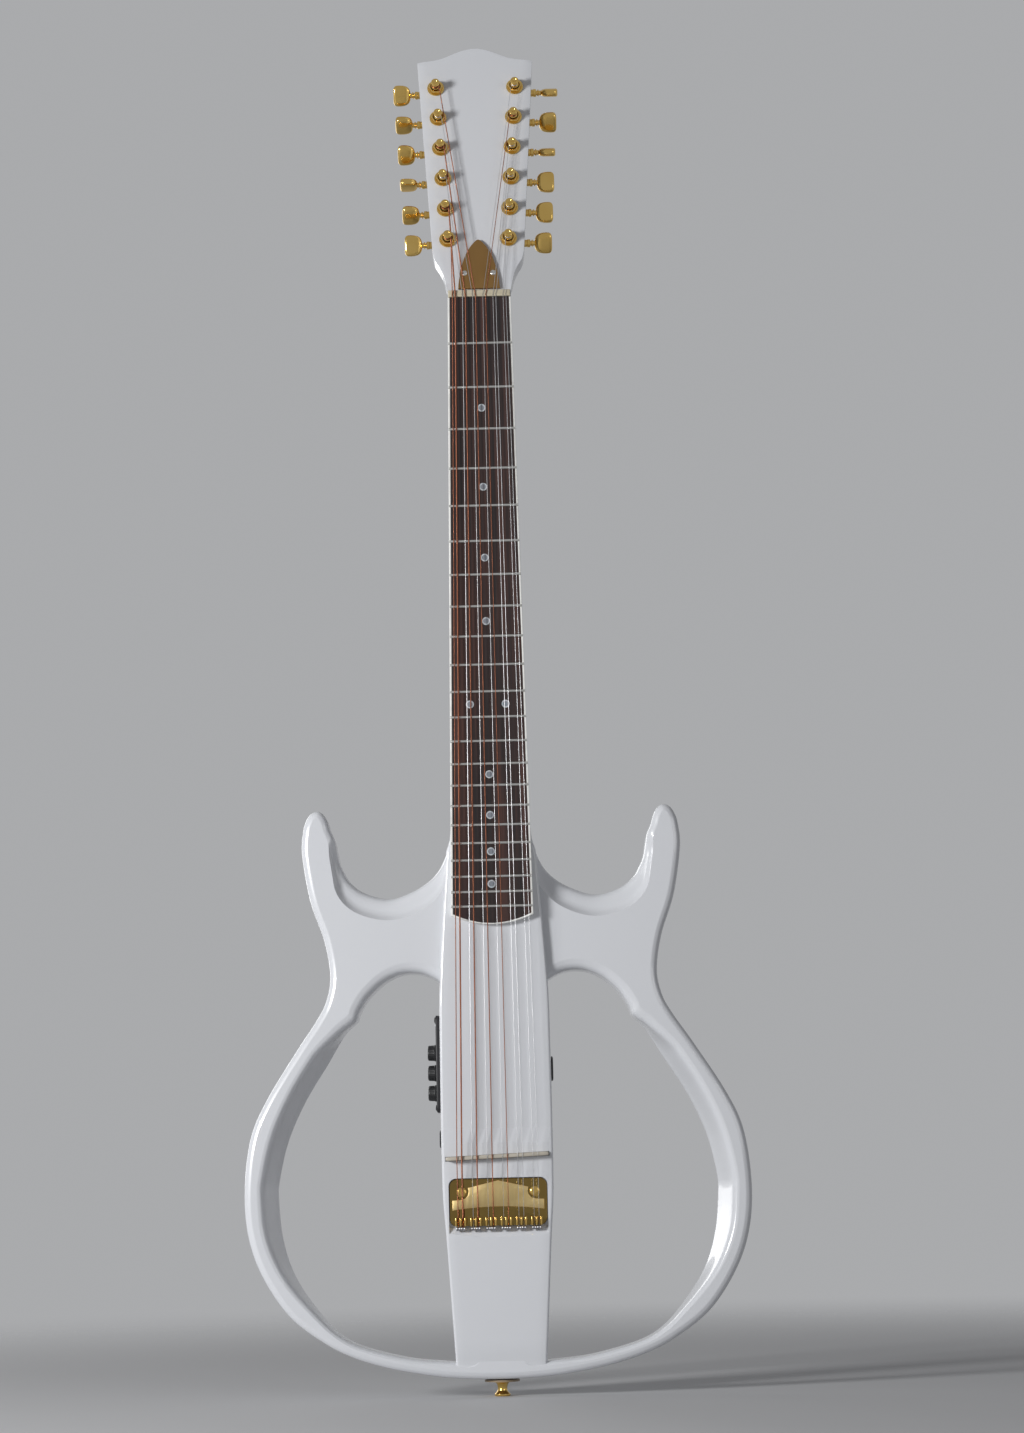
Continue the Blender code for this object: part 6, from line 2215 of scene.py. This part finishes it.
@dataclass
class BatteryBay:
    """The battery and the hinged lid over it (mm)."""

    lid_half: float = 15.15
    lid_low: float = 62.0
    lid_high: float = 115.5
    lid_in: float = 18.6
    lid_out: float = 21.0
    peg_reach: float = 17.65
    peg_radius: float = 0.8
    hinge: tuple[float, float] = (19.8, 114.3)
    grooves: int = 5
    groove_start: float = 5.0
    groove_spacing: float = 2.4
    groove: Triple = (8.0, 0.6, 1.0)
    case_low: Triple = (-13.25, 0.8, 61.8)
    case_high: Triple = (13.25, 18.3, 110.3)
    snaps: Rows = ((-6.35, 2.9), (6.35, 3.9))
    snap_rows: Rows = (
        (0.0, -0.5), (1.0, -0.5), (1.0, 0.6), (0.8, 0.9), (0.86, 2.6), (0.7, 2.9), (0.55, 2.2), (0.0, 2.0))

    def lid(self) -> Mesh:
        """The lid with its finger grooves and hinge pegs.

        Returns:
            The lid.
        """
        half, depth, width = self.groove
        lows = (self.lid_low + self.groove_start + self.groove_spacing * k for k in range(self.grooves))
        cuts = [box(mm(-half, self.lid_out - depth, z), mm(half, self.lid_out + 1.0, z + width))
                for z in lows]
        lid = carved(box(mm(-self.lid_half, self.lid_in, self.lid_low),
                         mm(self.lid_half, self.lid_out, self.lid_high), edge=0.5 * MM), cuts)
        y, z = self.hinge
        peg, reach, edge = self.peg_radius, self.peg_reach, 0.2
        turned(lid, [(0, -reach), (peg - edge, -reach), (peg, edge - reach), (peg, reach - edge),
                     (peg - edge, reach), (0, reach)], Matrix.Translation(mm(0, y, z)) @ SIDEWAYS, 16,
               unit=MM)
        return lid

    def build(self, palette: Palette) -> None:
        """Make the battery, its snaps and the lid.

        Args:
            palette: The finishes.
        """
        finished("ribbed_lid", self.lid(), palette.black, Slot.BLACK, "battery_lid", ("battery_lid",))
        case, snaps = box(mm(*self.case_low), mm(*self.case_high), edge=1.4 * MM, segments=4), bmesh.new()
        finished("battery_case", case, palette.battery, Slot.BATTERY, replaces=("battery",))
        middle, top = (self.case_low[1] + self.case_high[1]) / 2, self.case_high[2]
        for x, wide in self.snaps:
            turned(snaps, [(wide * share, height) for share, height in self.snap_rows],
                   Matrix.Translation(mm(x, middle, top)), 24, unit=MM)
        finished("battery_snaps", snaps, palette.nickel, Slot.BATTERY)


@dataclass
class StrapButton:
    """The tail strap button with its screw and felt washer (mm)."""

    radius: float = 6.0
    waist: float = 3.6
    foot: float = 5.4
    length: float = 10.3
    felt_radius: float = 13.0
    felt_low: float = 10.6
    felt_high: float = 12.2
    bore: float = 2.0
    screw_seat: float = 1.6
    screw: Screw = Screw(2.8 * MM, 1.0 * MM)

    def build(self, palette: Palette) -> None:
        """Make the button, the screw and the felt.

        Args:
            palette: The finishes.
        """
        button, head, felt = bmesh.new(), bmesh.new(), bmesh.new()
        r = self.radius
        turned(button, [(0, 2.0), (3.0, 2.0), (3.5, 0.25), (3.8, 0.0), (r - 0.9, 0.0), (r - 0.25, 0.3),
                        (r, 0.9), (r - 0.1, 1.6), (r - 0.8, 2.4), (self.waist + 0.5, 3.4),
                        (self.waist, 4.6), (self.waist, 6.8), (self.waist + 0.4, 8.4), (self.foot - 0.7, 9.5),
                        (self.foot, 10.0), (self.foot, self.length), (0, self.length)], sides=48, unit=MM)
        finished("strap_button", button, palette.gold, Slot.GOLD, replaces=("tail_strap_button",))
        self.screw.add(head, mm(0, 0, self.screw_seat), Vector((0, 0, -1)))
        finished("strap_button_screw", head, palette.gold, Slot.GOLD)
        low, high, r = self.felt_low, self.felt_high, self.felt_radius
        turned(felt, [(self.bore, low), (r - 0.4, low), (r - 0.1, low + 0.3), (r, (low + high) / 2),
                      (r - 0.1, high - 0.3), (r - 0.4, high), (self.bore, high)],
               sides=48, joined=True, unit=MM)
        finished("felt_washer", felt, palette.felt, Slot.FELT, replaces=("tail_strap_felt",))


@dataclass
class Studio:
    """The pale floor and sky, the lights and the camera."""

    floor: float = 2.4
    camera_place: Triple = (0.018, -2.506, 0.147)
    camera_lift: float = math.radians(8.18)
    camera_roll: float = math.radians(1.27)
    lens: float = 83.58
    sensor: float = 36.0
    target: Triple = (0.0, 0.0, 0.45)
    lamps: tuple[tuple[str, Triple, float, float], ...] = (
        ("key", (-1.7, -1.55, 0.7), 0.5, 44.0), ("fill", (1.9, -2.0, 0.9), 0.9, 5.0),
        ("back", (-1.5, 2.2, 1.0), 1.6, 14.0))
    sky: Triple = (0.13, 0.13, 0.135)
    seen_sky: Triple = (0.40, 0.405, 0.415)

    def ground(self) -> None:
        """Make the round floor."""
        bm = bmesh.new()
        bmesh.ops.create_circle(bm, cap_ends=True, segments=64, radius=self.floor)
        item = linked("floor", as_mesh("floor", bm))
        item.data.materials.append(Floor().make())

    def light(self) -> None:
        """Add the soft area lights."""
        for name, place, size, energy in self.lamps:
            data = bpy.data.lights.new(name, "AREA")
            data.size = size
            data.energy = energy
            item = linked(name, data)
            item.location = place
            item.rotation_euler = (Vector(self.target) - Vector(place)).to_track_quat("-Z", "Y").to_euler()

    def world(self) -> None:
        """Set an even sky that is paler where it is seen than where it only lights."""
        world = bpy.data.worlds.new("soft_sky")
        world.use_nodes = True
        tree = world.node_tree
        path = tree.nodes.new("ShaderNodeLightPath")
        camera, glossy, through = (Wire(tree, path.outputs[f"Is {kind} Ray"])
                                   for kind in ("Camera", "Glossy", "Transmission"))
        seen = blend(tree, camera + glossy + through, self.sky, self.seen_sky)
        tree.links.new(seen.socket, tree.nodes["Background"].inputs["Color"])
        bpy.context.scene.world = world

    def camera(self) -> None:
        """Place the camera as the photograph was taken."""
        data = bpy.data.cameras.new("camera")
        data.lens = self.lens
        data.sensor_width = self.sensor
        item = linked("camera", data)
        lift = Matrix.Rotation(QUARTER + self.camera_lift, 4, "X")
        item.matrix_world = (Matrix.Translation(self.camera_place) @ lift
                             @ Matrix.Rotation(-self.camera_roll, 4, "Z"))
        scene = bpy.context.scene
        scene.camera = item
        scene.view_settings.view_transform = "Standard"

    def build(self) -> None:
        """Set the whole studio up."""
        self.ground()
        self.light()
        self.world()
        self.camera()


def dress_inner_parts(palette: Palette) -> None:
    """Give the pieces that stay as solids inside the guitar their finishes.

    Args:
        palette: The finishes.
    """
    finishes = {"truss_rod": palette.rod_steel, "piezo_strip": palette.black, "preamp_module": palette.black}
    for name, material in finishes.items():
        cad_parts[name].material_slots[0].material = material


def main() -> None:
    """Build every piece, the studio and the camera."""
    logging.basicConfig(level=logging.INFO, format="%(message)s")
    palette = Palette()
    bridge, scale, tuners = Bridge(), Scale(), TunerSizes()
    posts = tuners.frames()
    strings = StringSet(scale, bridge)
    OpenFrame().build(palette)
    Spine().build(palette, bridge)
    Neck(scale).build(palette, list(posts.values()))
    Fretboard(scale).build(palette)
    Nut().build(palette, strings, posts)
    RodCover().build(palette)
    Saddle(bridge).build(palette)
    Tailpiece(bridge).build(palette, strings)
    strings.build(palette, posts)
    for side, rank in posts:
        Tuner(tuners, side, rank).build(palette)
    Preamp().build(palette)
    Socket("phones_socket", Side.BASS, 189.3, 4.0, 1.85, 12.0, 6.6).build(palette)
    Socket("output_jack", Side.TREBLE, 240.0, 6.6, 3.45, 27.0, 9.2).build(palette)
    BatteryBay().build(palette)
    StrapButton().build(palette)
    dress_inner_parts(palette)
    Studio().build()


if __name__ == "__main__":
    main()
